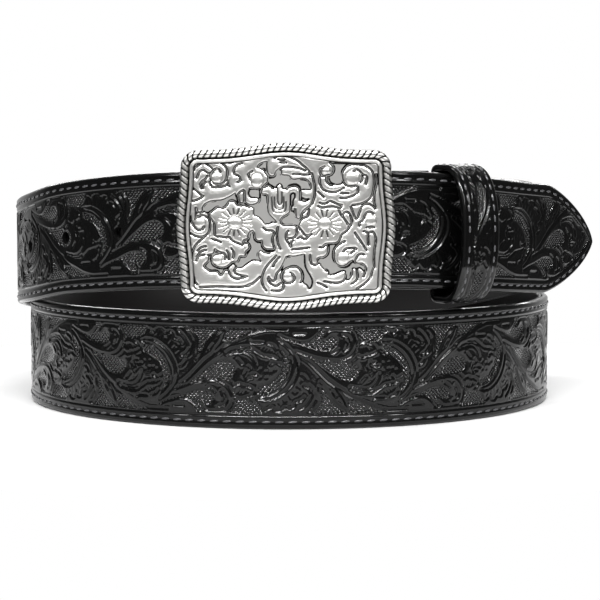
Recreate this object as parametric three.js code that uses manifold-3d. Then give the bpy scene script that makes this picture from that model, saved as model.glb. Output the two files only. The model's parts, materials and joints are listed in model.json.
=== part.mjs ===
// Western belt with a cast plate buckle, fastened and coiled in two turns.
// Millimetres. +Z is up and -Y is the front, the side that the buckle faces.
// Everything is laid out round the coil's own centre and moved to the origin at the end.
import * as THREE from 'three';
import Module from 'manifold-3d';

const wasm = await Module();
wasm.setup();

// Strap: one path, two leather layers. Offsets are from the path, outward positive.
const STRAP_HALF = 19;
const FACE_OUT = 1.9;
const FACE_IN = -0.1;
const LINING_OUT = -0.4;
const LINING_IN = -1.9;
const LINING_INSET = 0.3;
const STEP_DEGREES = 7.5;

// Path of the strap from the buckle bar to the start of the straight tip.
// columns: angle from the front in degrees, path radius, height of the lower edge
const PATH = [
  [12.5, 93.3, 46.0],
  [25, 93.1, 45.0],
  [40, 92.9, 44.0],
  [60, 92.0, 42.5],
  [90, 89.0, 39.0],
  [135, 90.0, 27.0],
  [180, 93.0, 12.0],
  [225, 94.0, 1.0],
  [240, 94.0, 0.0],
  [360, 94.0, 0.0],
  [450, 94.0, 0.0],
  [495, 95.5, 0.0],
  [540, 99.5, 8.5],
  [585, 100.3, 23.0],
  [600, 99.8, 26.5],
  [630, 98.8, 33.5],
  [655, 98.3, 38.2],
  [671, 98.1, 42.2],
  [699, 98.1, 45.7],
  [720, 98.0, 46.5],
  [741, 97.5, 46.1],
  [765, 97.6, 43.2],
  [772, 97.8, 42.3],
];

// The end of the billet runs straight and narrows to a rounded point.
const END_STRAIGHT = 49.7;
const END_DROP = 3.3;
const TIP_LENGTH = 31.0;

// Turn round the bar of the buckle and the short tab inside the coil.
const BAR_ANGLE = 12.5;
const BAR_RADIUS = 1.75;
const TURN_RADIUS = 2.15;
// columns: angle, path radius of the tab
const TAB = [
  [31, 90.55],
  [25, 90.65],
  [19, 90.2],
  [14.5, 89.4],
];

// Punched holes in the billet.
const HOLE_RADIUS = 2.1;
const HOLE_ANGLES = [-64.8, -49.3, -34.0, -16.8, -0.8];
const HOOK_ANGLE = -16.8;
const HOOK_RADIUS = 1.65;

// Keeper: a loop of leather round both straps. It bends with the coil.
const KEEPER = {
  angle: 36.3,
  radius: 96,
  height: 63.1,
  half_width: 6.9,
  half_thick: 1.1,
  half_tall: 21.9,
  front: 10.9,
  back: 6.5,
  front_power: 2.3,
  back_power: 10,
  stations: 32,
};

// Snap caps on the tab.
const SNAP = {
  angle: 24.5,
  reach: 9.5,
  radius: 5,
  seat: 88.15,
  tall: 1.5,
};

// Plate of the buckle. Heights are measured from its back, along the bend's radius.
const PLATE = {
  x: -0.5,
  z: 66.3,
  back_y: -100.9,
  bend: 170,
  scale: 1.018,
  half_wide: 32.9,
  side_bulge: 1.4,
  side_reach: 10,
  half_tall: 24,
  top_bulge: 2.3,
  top_reach: 13,
  corner: 5.5,
  rim_top: 1.9,
  bead_inset: 3.0,
  bead_wide: 1.05,
  bead_top: 2.85,
  leaf_top: 2.45,
  field_top: 1.65,
};
const ROPE = {
  inset: 1.25,
  height: 1.9,
  radius: 1.28,
  waist: 1.04,
  strands: 104,
  slant: 0.55,
};
const BALE = {
  leg: 1.6,
  reach: 21.6,
};

// Relief of the plate, traced from the photo in plate millimetres, x to the right and y up.
// Sunk fields between the leaves.
const FIELDS = [
  [[-1.6, 16.3], [1, 15.8], [1.5, 14.9], [4.1, 14.9], [6.8, 14.3], [7.4, 11.6], [4.6, 11.5], [3.6, 13.2],
    [1, 13], [0.3, 12.1], [-1, 12], [-1.9, 13.5], [-3.2, 12.2], [-5.4, 13.6], [-5.2, 15.2], [-3.2, 16],
    [-2.9, 17.4], [-1.7, 18]],
  [[1.5, 5], [2.8, 4.2], [3, 3], [4.6, 2.7], [3.6, 0.3], [-0.4, 0.7], [-1.5, 2], [-0.8, 2.9]],
  [[-5.9, 9.8], [-5.8, 6], [-4.6, 3.2], [-3.4, 1.4], [-6.4, 1], [-7.3, 2.3], [-9.7, 3.9], [-10.9, 6.6],
    [-8.1, 8], [-8.1, 11.3], [-7.2, 10]],
  [[13.6, 19.7], [19.8, 19.8], [17.4, 17.6], [17.6, 14], [15.5, 13.2], [13.4, 15], [15.1, 17.7]],
  [[-23.8, -9.6], [-22.8, -12.2], [-19.2, -13.2], [-16.9, -11.9], [-18.3, -13.3], [-20.5, -15],
    [-21.7, -13.7], [-24.8, -13], [-24.2, -11]],
  [[-10, -2.3], [-8.7, -4.9], [-7.5, -5.2], [-7.1, -6.8], [-3.6, -7.4], [-4.7, -8.1], [-8.2, -7.8],
    [-8.3, -10.5], [-12, -11.5], [-15, -12.7], [-16.4, -11.3], [-12.7, -9.5], [-11, -6.7], [-11.1, -2.2]],
  [[0.3, -9.4], [5.6, -8.8], [6, -12.1], [8.2, -16.9], [7.2, -19.5], [5.3, -17.4], [4.9, -13.6],
    [1.3, -12.4], [-1.3, -14.3], [-0.8, -11.5]],
  [[13.4, -5.6], [15.6, -5.5], [14.5, -9], [16, -12], [19.2, -12.6], [20.8, -11], [24.9, -13.5],
    [22, -13.3], [20.5, -13.4], [18.8, -16.7], [18, -13.8], [13.4, -15], [10.2, -11.4], [13.3, -8.3]],
  [[-15.2, 19.8], [-17, 19], [-17.6, 16.6], [-17.2, 13.8], [-14.6, 13.8], [-15.9, 16.5], [-15.8, 18.7]],
  [[-24.6, 6.4], [-21.4, 7.8], [-18.4, 8.4], [-18.6, 6.8], [-20.3, 6.3], [-24, 4.8]],
  [[9.4, 5.6], [9.2, 8.4], [10.2, 7.2], [16.2, 6.7], [17, 6], [12, 5.9]],
];
// Main cut lines that part one leaf from the next.
const LINES = [
  [[-22.4, 20.4], [-19.3, 19.4], [-18.2, 16.8], [-19.3, 13.9], [-21.4, 13.2], [-23.5, 15.4], [-21.9, 18],
    [-20.3, 17.2]],
  [[-29.2, 12], [-25.9, 9.5], [-29.4, 8.2]],
  [[-15.9, 10.2], [-19.8, 8.3], [-24.1, 7.6], [-25.9, 5.1], [-28, 4.9]],
  [[-28.4, 2.4], [-26.5, 3.4], [-24, 2.2], [-23.8, -1], [-26, -3], [-29.3, -2.4]],
  [[-24, 4], [-21.2, 6.2], [-19.4, 5.8], [-17, 8], [-15, 6.8], [-11, 6.3], [-9.8, 5.6]],
  [[-24, 4], [-22.3, 0.8], [-22, -2.8], [-17.6, -3.3], [-13.8, -5.6]],
  [[-2, 18.1], [1.3, 18.7], [6, 17.4]],
  [[-3.5, 21.3], [0.3, 21.8], [4.9, 19.5], [8, 16], [9, 11.5], [8, 7.2], [5.7, 4.8]],
  [[-3.4, 9.3], [-3.4, 6.8], [-2.1, 5.4], [-0.8, 6.6], [-0.7, 9.3]],
  [[0.4, 11.9], [3, 12.7], [4.5, 10.8], [4.5, 8.5]],
  [[11.9, 18.7], [10.7, 17], [12.6, 15.9], [14.8, 17.7], [13.6, 19.8]],
  [[11.1, 16.2], [10.6, 13.6], [12.4, 11.4], [15.7, 11], [18, 12.2]],
  [[21.4, 19.5], [18.3, 18.3], [17.4, 15.3], [18.8, 12.9], [22.2, 12.7], [21.6, 10.2], [17, 9.1]],
  [[21.4, 19.5], [25.2, 18.8], [27.3, 16.3], [27.2, 11], [24.5, 7.7], [20.7, 6.8]],
  [[3.8, 0.2], [5.3, 2.7], [7, 5.4]],
  [[16.5, 4.9], [18.2, 2.5], [19.7, 0.2], [18, -2], [15.7, -5], [12.4, -5.4]],
  [[-25.5, -3.4], [-28.4, -6], [-29.5, -10], [-28.9, -15.7], [-27.7, -18.1]],
  [[-22.9, -9.2], [-22.7, -11.9], [-19.3, -12.9]],
  [[-16.3, -11], [-14.2, -9.4], [-12.3, -8.6], [-11.5, -5.6], [-13.1, -4.4], [-11.5, -3.6]],
  [[-24.3, -13.3], [-21, -14.4], [-19.8, -14.8], [-17.7, -14], [-16.2, -16.1], [-12.4, -15.6]],
  [[-2.5, -0.1], [-2.7, -4.6], [-1.7, -6.8]],
  [[0.7, -1.3], [0.1, -3.4], [1.5, -6.2]],
  [[-7, -0.3], [-3.7, -1.9], [-4.1, -5], [-3.6, -6.8]],
  [[-3, -9.1], [-5.6, -11.9], [-7.4, -15.8], [-6.2, -19.8]],
  [[2.2, -14.6], [2.6, -16.4], [0.4, -17.5], [-1.4, -15.8]],
  [[23.4, -18.7], [26.2, -16.2], [27.3, -12], [27.7, -5], [26.9, -1.6]],
  [[21.7, -2.2], [25.1, -7.3]],
];
// columns: x, y, radius and height of the round bosses in scrolls and flowers
const BOSSES = [
  [-21.4, 15.6, 1.9, 0.55],
  [-27, 1.3, 1.8, 0.5],
  [-15.8, 1.4, 1.9, 0.65],
  [-8.6, 15.2, 1.8, 0.5],
  [21, 14.9, 1.6, 0.5],
  [25.6, 1.2, 1.6, 0.5],
  [12, 1, 1.9, 0.65],
  [-20.9, -10.4, 1.7, 0.5],
  [18, -9.8, 1.9, 0.55],
];
const CUT_WIDE = 0.55;
const CUT_DEEP = 0.5;

const leather = new THREE.MeshStandardMaterial({ name: 'black_leather', color: 0x17181a, roughness: 0.38 });
const flesh = new THREE.MeshStandardMaterial({ name: 'lining_leather', color: 0x1f1d1c, roughness: 0.7 });
const silver = new THREE.MeshStandardMaterial({
  name: 'antique_silver', color: 0xa8a8a4, roughness: 0.34, metalness: 1,
});
const nickel = new THREE.MeshStandardMaterial({
  name: 'snap_nickel', color: 0xb9b8b4, roughness: 0.3, metalness: 1,
});

const rad = (degrees) => degrees * Math.PI / 180;

// Smooth curve through a table's points that never overshoots them.
function curve(rows, column) {
  const xs = rows.map((row) => row[0]);
  const ys = rows.map((row) => row[column]);
  const last = xs.length - 1;
  const rise = [];
  for (let i = 0; i < last; i += 1) rise.push((ys[i + 1] - ys[i]) / (xs[i + 1] - xs[i]));
  const slope = [rise[0]];
  for (let i = 1; i < last; i += 1) {
    if (rise[i - 1] * rise[i] <= 0) {
      slope.push(0);
    } else {
      const near = xs[i] - xs[i - 1];
      const far = xs[i + 1] - xs[i];
      const first = 2 * far + near;
      const second = far + 2 * near;
      slope.push((first + second) / (first / rise[i - 1] + second / rise[i]));
    }
  }
  slope.push(rise[last - 1]);
  return (x) => {
    let i = 0;
    while (i < last - 1 && x > xs[i + 1]) i += 1;
    const width = xs[i + 1] - xs[i];
    const t = (x - xs[i]) / width;
    const a = 2 * t ** 3 - 3 * t ** 2 + 1;
    const b = t ** 3 - 2 * t ** 2 + t;
    const c = -2 * t ** 3 + 3 * t ** 2;
    const d = t ** 3 - t ** 2;
    return a * ys[i] + b * width * slope[i] + c * ys[i + 1] + d * width * slope[i + 1];
  };
}
const pathRadius = curve(PATH, 1);
const pathBase = curve(PATH, 2);
const tabRadius = curve([...TAB].reverse(), 1);
const END_ANGLE = PATH[PATH.length - 1][0];

function around(angle, radius, height) {
  return new THREE.Vector3(radius * Math.sin(rad(angle)), -radius * Math.cos(rad(angle)), height);
}

// A station of the ribbon: point on the path, outward side, direction across the width, half width.
function station(point, tangent, half) {
  const flat = new THREE.Vector3(tangent.x, tangent.y, 0).normalize();
  const side = new THREE.Vector3(flat.y, -flat.x, 0);
  const across = new THREE.Vector3().crossVectors(side, tangent).normalize();
  return { point, side, across, half };
}

function coilStation(angle) {
  const at = (a) => around(a, pathRadius(a), pathBase(a) + STRAP_HALF);
  const tangent = at(Math.min(angle + 0.2, END_ANGLE)).sub(at(Math.max(angle - 0.2, BAR_ANGLE)));
  return station(at(angle), tangent.normalize(), STRAP_HALF);
}

function tipHalf(distance) {
  const u = Math.min(1, Math.max(0, (distance - END_STRAIGHT + TIP_LENGTH) / TIP_LENGTH));
  return STRAP_HALF * (1 - u ** 1.3) ** 0.62;
}

function tipStations() {
  const start = coilStation(END_ANGLE);
  const flat = new THREE.Vector3(-start.side.y, start.side.x, 0);
  const tangent = flat.clone().setZ(-END_DROP / END_STRAIGHT).normalize();
  const list = [8, 15, 19, 24, 29, 34, 38, 41.5, 44.2, 46.4, 48, 49, 49.5];
  return list.map((d) => {
    const point = start.point.clone().addScaledVector(flat, d);
    point.z -= END_DROP * d / END_STRAIGHT;
    return station(point, tangent, tipHalf(d));
  });
}

function coilStations() {
  const list = [];
  const count = Math.round((END_ANGLE - BAR_ANGLE) / STEP_DEGREES);
  for (let i = 0; i <= count; i += 1) {
    list.push(coilStation(BAR_ANGLE + (END_ANGLE - BAR_ANGLE) * i / count));
  }
  return list;
}

// The face leather starts on the tab, turns round the bar and then follows the coil.
function faceStations() {
  const height = pathBase(BAR_ANGLE) + STRAP_HALF;
  const list = [];
  const up = new THREE.Vector3(0, 0, 1);
  for (let a = TAB[0][0]; a > BAR_ANGLE + 2; a -= 3) {
    const here = around(a, tabRadius(Math.max(a, TAB[3][0])), height);
    const next = around(a - 0.2, tabRadius(Math.max(a - 0.2, TAB[3][0])), height);
    const way = next.sub(here).normalize();
    list.push({ point: here, side: new THREE.Vector3(way.y, -way.x, 0), across: up, half: STRAP_HALF });
  }
  const centre = around(BAR_ANGLE, pathRadius(BAR_ANGLE) - TURN_RADIUS, height);
  const out = around(BAR_ANGLE, 1, 0);
  const back = new THREE.Vector3(out.y, -out.x, 0);
  for (let k = 0; k < 8; k += 1) {
    const turn = rad(180 * k / 8);
    const side = out.clone().multiplyScalar(-Math.cos(turn)).addScaledVector(back, Math.sin(turn));
    list.push({ point: centre.clone().addScaledVector(side, TURN_RADIUS), side, across: up, half: STRAP_HALF });
  }
  return [...list, ...coilStations(), ...tipStations()];
}

// Closed body from rings of equal length; the first and last ring are capped.
function tube(rings, closed) {
  const count = rings[0].length;
  const points = rings.flat();
  const faces = [];
  const spans = closed ? rings.length : rings.length - 1;
  for (let i = 0; i < spans; i += 1) {
    const a = i * count;
    const b = ((i + 1) % rings.length) * count;
    for (let j = 0; j < count; j += 1) {
      const k = (j + 1) % count;
      faces.push([a + j, b + j, b + k], [a + j, b + k, a + k]);
    }
  }
  if (!closed) {
    const end = (rings.length - 1) * count;
    for (let j = 1; j < count - 1; j += 1) {
      faces.push([0, j, j + 1], [end, end + j + 1, end + j]);
    }
  }
  return body(points, faces);
}

// Manifold body of a point and face list, turned so that its faces point outward.
function body(points, faces) {
  let volume = 0;
  for (const [a, b, c] of faces) {
    volume += points[a].dot(new THREE.Vector3().crossVectors(points[b], points[c]));
  }
  const tris = volume > 0 ? faces.flat() : faces.map(([a, b, c]) => [a, c, b]).flat();
  return new wasm.Manifold(new wasm.Mesh({
    numProp: 3,
    vertProperties: new Float32Array(points.flatMap((p) => [p.x, p.y, p.z])),
    triVerts: new Uint32Array(tris),
  }));
}

function mesh(name, solid, material) {
  const data = solid.getMesh();
  const geometry = new THREE.BufferGeometry();
  geometry.setAttribute('position', new THREE.BufferAttribute(new Float32Array(data.vertProperties), 3));
  geometry.setIndex(new THREE.BufferAttribute(new Uint32Array(data.triVerts), 1));
  geometry.computeVertexNormals();
  const result = new THREE.Mesh(geometry, material);
  result.name = name;
  return result;
}

// Ribbon body: a section in (offset outward, distance in from the edge, side) swept along stations.
function ribbon(stations, section, inset) {
  const rings = stations.map((s) => section.map(([offset, edge, sign]) => {
    const reach = Math.max(s.half - inset - edge, 0.12 + 0.05 * offset);
    return s.point.clone().addScaledVector(s.side, offset).addScaledVector(s.across, sign * reach);
  }));
  return tube(rings, false);
}

// Round bar between two points.
function rod(from, to, radius, sides, endRadius = radius) {
  const axis = to.clone().sub(from).normalize();
  const aside = Math.abs(axis.z) > 0.9 ? new THREE.Vector3(1, 0, 0) : new THREE.Vector3(0, 0, 1);
  const u = new THREE.Vector3().crossVectors(axis, aside).normalize();
  const v = new THREE.Vector3().crossVectors(axis, u);
  const ring = (centre, r) => Array.from({ length: sides }, (_, k) => {
    const turn = rad(360 * (k + 0.5) / sides);
    return centre.clone().addScaledVector(u, r * Math.cos(turn)).addScaledVector(v, r * Math.sin(turn));
  });
  return tube([ring(from, radius), ring(to, endRadius)], false);
}

function billetHeight(angle) {
  return pathBase(angle + 720) + STRAP_HALF;
}

function punch(solid) {
  let result = solid;
  for (const angle of HOLE_ANGLES) {
    const radius = pathRadius(angle + 720);
    const height = billetHeight(angle);
    const cutter = rod(around(angle, radius - 3.2, height), around(angle, radius + 3.2, height), HOLE_RADIUS, 12);
    result = result.subtract(cutter);
  }
  return result;
}

const FACE_SECTION = [
  [FACE_IN, 0, -1],
  [FACE_OUT - 0.85, 0, -1],
  [FACE_OUT - 0.25, 0.35, -1],
  [FACE_OUT, 0.95, -1],
  [FACE_OUT, 0.95, 1],
  [FACE_OUT - 0.25, 0.35, 1],
  [FACE_OUT - 0.85, 0, 1],
  [FACE_IN, 0, 1],
];
// Both sections run downward on the sides that face each other, so that their facets agree.
const LINING_SECTION = [
  [LINING_IN, 0, 1],
  [LINING_OUT, 0, 1],
  [LINING_OUT, 0, -1],
  [LINING_IN, 0, -1],
];

function makeFace() {
  return punch(ribbon(faceStations(), FACE_SECTION, 0));
}

// The lining uses the face's own stations, so that the gap between the layers stays even.
function makeLining() {
  const stations = [...coilStations().slice(1), ...tipStations().slice(0, -1)];
  return punch(ribbon(stations, LINING_SECTION, LINING_INSET));
}

function makeKeeper() {
  const loop = [];
  for (let k = 0; k < KEEPER.stations; k += 1) {
    const turn = rad(360 * k / KEEPER.stations);
    const front = Math.cos(turn) >= 0;
    const power = front ? KEEPER.front_power : KEEPER.back_power;
    const reach = front ? KEEPER.front : KEEPER.back;
    const n = Math.sign(Math.cos(turn)) * reach * Math.abs(Math.cos(turn)) ** (2 / power);
    const w = Math.sign(Math.sin(turn)) * KEEPER.half_tall * Math.abs(Math.sin(turn)) ** (2 / power);
    loop.push(new THREE.Vector2(n, w));
  }
  const section = [[-7.5, -0.6], [-7.1, -1.1], [7.1, -1.1], [7.5, -0.6], [7.5, 0.6], [7.1, 1.1], [-7.1, 1.1],
    [-7.5, 0.6]];
  const rings = loop.map((p, k) => {
    const before = loop[(k + loop.length - 1) % loop.length];
    const after = loop[(k + 1) % loop.length];
    const way = after.clone().sub(before).normalize();
    return section.map(([t, d]) => {
      const n = p.x + way.y * d;
      const w = p.y - way.x * d;
      const angle = KEEPER.angle + t / KEEPER.radius * 180 / Math.PI;
      return around(angle, KEEPER.radius + n, KEEPER.height + w);
    });
  });
  return tube(rings, true);
}

function makeSnap(sign) {
  const out = around(SNAP.angle, 1, 0);
  const along = new THREE.Vector3(-out.y, out.x, 0);
  const up = new THREE.Vector3(0, 0, 1);
  const centre = around(SNAP.angle, SNAP.seat, pathBase(BAR_ANGLE) + STRAP_HALF + sign * SNAP.reach);
  const profile = [[1, 0], [1, 0.5], [0.8, 0.9], [0.35, 1]];
  const rings = profile.map(([r, h]) => Array.from({ length: 14 }, (_, k) => {
    const turn = rad(360 * k / 14);
    return centre.clone().addScaledVector(out, -h * SNAP.tall)
      .addScaledVector(along, r * SNAP.radius * Math.cos(turn))
      .addScaledVector(up, r * SNAP.radius * Math.sin(turn));
  }));
  return tube(rings, false);
}

// Plate point: x and y in the plate's own millimetres, height from its back.
function onPlate(x, y, height) {
  const turn = x * PLATE.scale / PLATE.bend;
  const radius = PLATE.bend + height;
  return new THREE.Vector3(
    PLATE.x + radius * Math.sin(turn),
    PLATE.back_y + PLATE.bend - radius * Math.cos(turn),
    PLATE.z + y * PLATE.scale,
  );
}

// Half height of the plate's outline at x, drawn in by an inset.
function outlineHalf(x, inset) {
  const ax = Math.abs(x);
  const straight = PLATE.half_wide - PLATE.corner;
  const side = PLATE.half_wide - inset;
  const level = PLATE.half_tall - PLATE.corner;
  if (ax <= straight) return PLATE.half_tall + PLATE.top_bulge * Math.exp(-((ax / PLATE.top_reach) ** 2)) - inset;
  if (ax < side) return level + Math.sqrt(Math.max(0, (PLATE.corner - inset) ** 2 - (ax - straight) ** 2));
  return Math.min(level, PLATE.side_reach * Math.sqrt(Math.log(PLATE.side_bulge / (ax - side))));
}

// Flat body of the outline between two heights, in strips that follow the bend.
// The shift moves the strips' edges, so that those of stacked slabs never meet.
function slab(inset, low, high, shift) {
  const straight = PLATE.half_wide - PLATE.corner;
  const radius = PLATE.corner - inset;
  const right = [0, 4.5, 9, 13.5, 19, straight];
  for (const a of [35, 65, 88]) right.push(straight + radius * Math.sin(rad(a)));
  for (const a of [0.3, 0.75, 0.99]) right.push(PLATE.half_wide - inset + PLATE.side_bulge * a);
  const end = PLATE.half_wide + PLATE.side_bulge - inset;
  const xs = [...right.slice(1).reverse().map((x) => -x), ...right];
  const rings = xs.map((column) => {
    const x = column + shift * (1 - Math.abs(column) / end);
    const half = outlineHalf(x, inset);
    return [onPlate(x, -half, low), onPlate(x, half, low), onPlate(x, half, high), onPlate(x, -half, high)];
  });
  return tube(rings, false);
}

// Closed line along the outline at an inset, evenly spaced.
function outlineLoop(inset, count) {
  const dense = [];
  const straight = PLATE.half_wide - PLATE.corner;
  for (let x = -straight; x < straight; x += 0.5) dense.push([x, outlineHalf(x, inset)]);
  for (let a = 90; a > 0; a -= 5) {
    const r = PLATE.corner - inset;
    dense.push([straight + r * Math.cos(rad(a)), PLATE.half_tall - PLATE.corner + r * Math.sin(rad(a))]);
  }
  const quarter = dense.length;
  for (let y = PLATE.half_tall - PLATE.corner; y > 0; y -= 0.5) {
    dense.push([PLATE.half_wide - inset + PLATE.side_bulge * Math.exp(-((y / PLATE.side_reach) ** 2)), y]);
  }
  const half = dense.slice(quarter).reverse().map(([x, y]) => [x, -y]);
  const loop = [...dense, ...half];
  for (let a = 0; a < 90; a += 5) {
    const r = PLATE.corner - inset;
    loop.push([straight + r * Math.cos(rad(a)), -(PLATE.half_tall - PLATE.corner) - r * Math.sin(rad(a))]);
  }
  const whole = [...loop, ...loop.map(([x, y]) => [-x, -y])];
  const length = [0];
  for (let i = 1; i <= whole.length; i += 1) {
    const [ax, ay] = whole[i - 1];
    const [bx, by] = whole[i % whole.length];
    length.push(length[i - 1] + Math.hypot(bx - ax, by - ay));
  }
  const total = length[whole.length];
  const result = [];
  let i = 0;
  for (let k = 0; k < count; k += 1) {
    const goal = total * k / count;
    while (length[i + 1] < goal) i += 1;
    const t = (goal - length[i]) / Math.max(1e-9, length[i + 1] - length[i]);
    const [ax, ay] = whole[i];
    const [bx, by] = whole[(i + 1) % whole.length];
    result.push([ax + (bx - ax) * t, ay + (by - ay) * t]);
  }
  return result;
}

function makeRope() {
  const loop = outlineLoop(ROPE.inset, ROPE.strands * 2);
  const angles = [-30, 35, 90, 145, 210];
  const rings = loop.map(([x, y], k) => {
    const [ax, ay] = loop[(k + loop.length - 1) % loop.length];
    const [bx, by] = loop[(k + 1) % loop.length];
    const size = Math.hypot(bx - ax, by - ay);
    const tx = (bx - ax) / size;
    const ty = (by - ay) / size;
    const radius = k % 2 ? ROPE.radius : ROPE.waist;
    return angles.map((a) => {
      const out = radius * Math.cos(rad(a));
      const slide = out * ROPE.slant;
      const height = ROPE.height + radius * Math.sin(rad(a));
      return onPlate(x - ty * out + tx * slide, y + tx * out + ty * slide, height);
    });
  });
  return tube(rings, true);
}

// Prism of a traced outline, cut into the plate from above.
function fieldCutter(traced) {
  const drawn = traced.map(([x, y]) => new THREE.Vector2(x, y));
  const flat = THREE.ShapeUtils.area(drawn) > 0 ? drawn : drawn.reverse();
  const count = flat.length;
  const points = [];
  for (const height of [PLATE.field_top, PLATE.leaf_top + 1]) {
    for (const p of flat) points.push(onPlate(p.x, p.y, height));
  }
  const all = [];
  for (const face of THREE.ShapeUtils.triangulateShape(flat, [])) {
    const turn = THREE.ShapeUtils.area(face.map((i) => flat[i]));
    const [a, b, c] = turn > 0 ? face : [face[0], face[2], face[1]];
    all.push([a + count, b + count, c + count], [a, c, b]);
  }
  for (let i = 0; i < count; i += 1) {
    const j = (i + 1) % count;
    all.push([i, j, j + count], [i, j + count, i + count]);
  }
  return body(points, all);
}

// Cut line with a vee section.
function lineCutter(line) {
  const lift = 0.35;
  const wide = CUT_WIDE / 2 * (1 + lift / CUT_DEEP);
  const rings = line.map(([x, y], k) => {
    const [ax, ay] = line[Math.max(0, k - 1)];
    const [bx, by] = line[Math.min(line.length - 1, k + 1)];
    const size = Math.hypot(bx - ax, by - ay);
    const nx = -(by - ay) / size;
    const ny = (bx - ax) / size;
    return [
      onPlate(x + nx * wide, y + ny * wide, PLATE.leaf_top + lift),
      onPlate(x - nx * wide, y - ny * wide, PLATE.leaf_top + lift),
      onPlate(x, y, PLATE.leaf_top - CUT_DEEP),
    ];
  });
  return tube(rings, false);
}

function makeBoss([x, y, radius, tall]) {
  const profile = [[1.1, -0.5], [0.9, 0.4], [0.4, 1]];
  const rings = profile.map(([r, h]) => Array.from({ length: 7 }, (_, k) => {
    const turn = rad(360 * k / 7);
    const px = x + r * radius * Math.cos(turn);
    const py = y + r * radius * Math.sin(turn);
    return onPlate(px, py, PLATE.leaf_top + h * tall);
  }));
  return tube(rings, false);
}

function makeBale() {
  const height = pathBase(BAR_ANGLE) + STRAP_HALF;
  const centre = around(BAR_ANGLE, pathRadius(BAR_ANGLE) - TURN_RADIUS, height);
  const top = centre.clone().setZ(height + BALE.reach);
  const low = centre.clone().setZ(height - BALE.reach);
  const front = PLATE.back_y + 1.9;
  const inner = centre.y + 0.6;
  let result = rod(low, top, BAR_RADIUS, 12);
  for (const end of [low, top]) {
    const leg = rod(new THREE.Vector3(end.x, inner, end.z), new THREE.Vector3(end.x, front - 1.6, end.z), BALE.leg, 8);
    result = result.add(leg);
  }
  return result;
}

function makeHook() {
  const height = billetHeight(HOOK_ANGLE);
  const radius = pathRadius(HOOK_ANGLE + 720);
  const root = around(HOOK_ANGLE, radius + 5.2, height);
  const shoulder = around(HOOK_ANGLE, radius - 2.6, height);
  const end = around(HOOK_ANGLE, radius - 4.4, height);
  const post = rod(root, shoulder, HOOK_RADIUS, 12);
  const nose = rod(shoulder, end, HOOK_RADIUS, 12, HOOK_RADIUS * 0.55);
  return post.add(nose);
}

function makePlate() {
  let result = slab(0.9, 0, PLATE.rim_top, 0);
  result = result.add(slab(PLATE.bead_inset, PLATE.rim_top - 0.5, PLATE.bead_top, 1.7));
  result = result.subtract(slab(PLATE.bead_inset + PLATE.bead_wide, PLATE.leaf_top, PLATE.bead_top + 0.6, -2.17));
  for (const outline of FIELDS) result = result.subtract(fieldCutter(outline));
  for (const line of LINES) result = result.subtract(lineCutter(line));
  for (const boss of BOSSES) result = result.add(makeBoss(boss));
  result = result.add(makeRope());
  return result.add(makeBale()).add(makeHook());
}

const belt = new THREE.Group();
belt.name = 'western_belt';
belt.add(mesh('strap_face', makeFace(), leather));
belt.add(mesh('strap_lining', makeLining(), flesh));
belt.add(mesh('keeper', makeKeeper(), leather));
belt.add(mesh('buckle_plate', makePlate(), silver));
belt.add(mesh('snap_cap_1', makeSnap(1), nickel));
belt.add(mesh('snap_cap_2', makeSnap(-1), nickel));

// Origin at the middle of the box, on the floor.
const box = new THREE.Box3().setFromObject(belt);
const shift = new THREE.Vector3((box.min.x + box.max.x) / 2, (box.min.y + box.max.y) / 2, box.min.z);
for (const part of belt.children) part.geometry.translate(-shift.x, -shift.y, -shift.z);

export default belt;
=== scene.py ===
# %% [markdown]
# # A tooled western belt with a silver plate buckle
# The belt is fastened, coiled in two turns and stands on the edge of its strap. The imported model gives
# the frame: every piece made here stands for one of its nodes and keeps its size and place. This cell
# loads it and gives the box of any of its parts when asked.

# %% Load the frame
import json
import math

import bmesh
import bpy
import numpy as np
from mathutils import Matrix, Vector

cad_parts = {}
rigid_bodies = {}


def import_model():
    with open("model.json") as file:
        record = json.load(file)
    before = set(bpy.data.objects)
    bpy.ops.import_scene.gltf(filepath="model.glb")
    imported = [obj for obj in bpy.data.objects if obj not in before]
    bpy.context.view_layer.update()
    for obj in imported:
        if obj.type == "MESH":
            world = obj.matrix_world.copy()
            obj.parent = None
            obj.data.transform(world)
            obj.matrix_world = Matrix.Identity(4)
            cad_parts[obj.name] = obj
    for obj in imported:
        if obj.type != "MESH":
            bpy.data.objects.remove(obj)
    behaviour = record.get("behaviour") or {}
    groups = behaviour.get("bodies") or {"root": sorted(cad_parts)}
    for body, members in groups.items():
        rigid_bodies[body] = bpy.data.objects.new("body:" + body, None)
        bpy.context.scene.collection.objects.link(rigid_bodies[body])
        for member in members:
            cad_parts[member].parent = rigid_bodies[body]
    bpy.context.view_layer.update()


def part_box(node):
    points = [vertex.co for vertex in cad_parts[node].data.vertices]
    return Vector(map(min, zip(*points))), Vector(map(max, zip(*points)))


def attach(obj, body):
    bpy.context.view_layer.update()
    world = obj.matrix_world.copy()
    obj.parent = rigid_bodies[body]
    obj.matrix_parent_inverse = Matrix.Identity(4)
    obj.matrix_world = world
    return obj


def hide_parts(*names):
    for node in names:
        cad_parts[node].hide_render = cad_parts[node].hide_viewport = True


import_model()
MM = 0.001
DETAIL = 1.0

# %% [markdown]
# ## The strap's path
# The strap is one long ribbon: a tab turned back round the buckle's bar, two turns of the coil, and a
# straight tip. It could be drawn as a curve object, but a bend along a table of stations keeps its
# width upright and lets two runs cross at the back without touching. The table gives the angle round
# the coil from the front, the radius of the path and the height of the lower edge, in millimetres.

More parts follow.
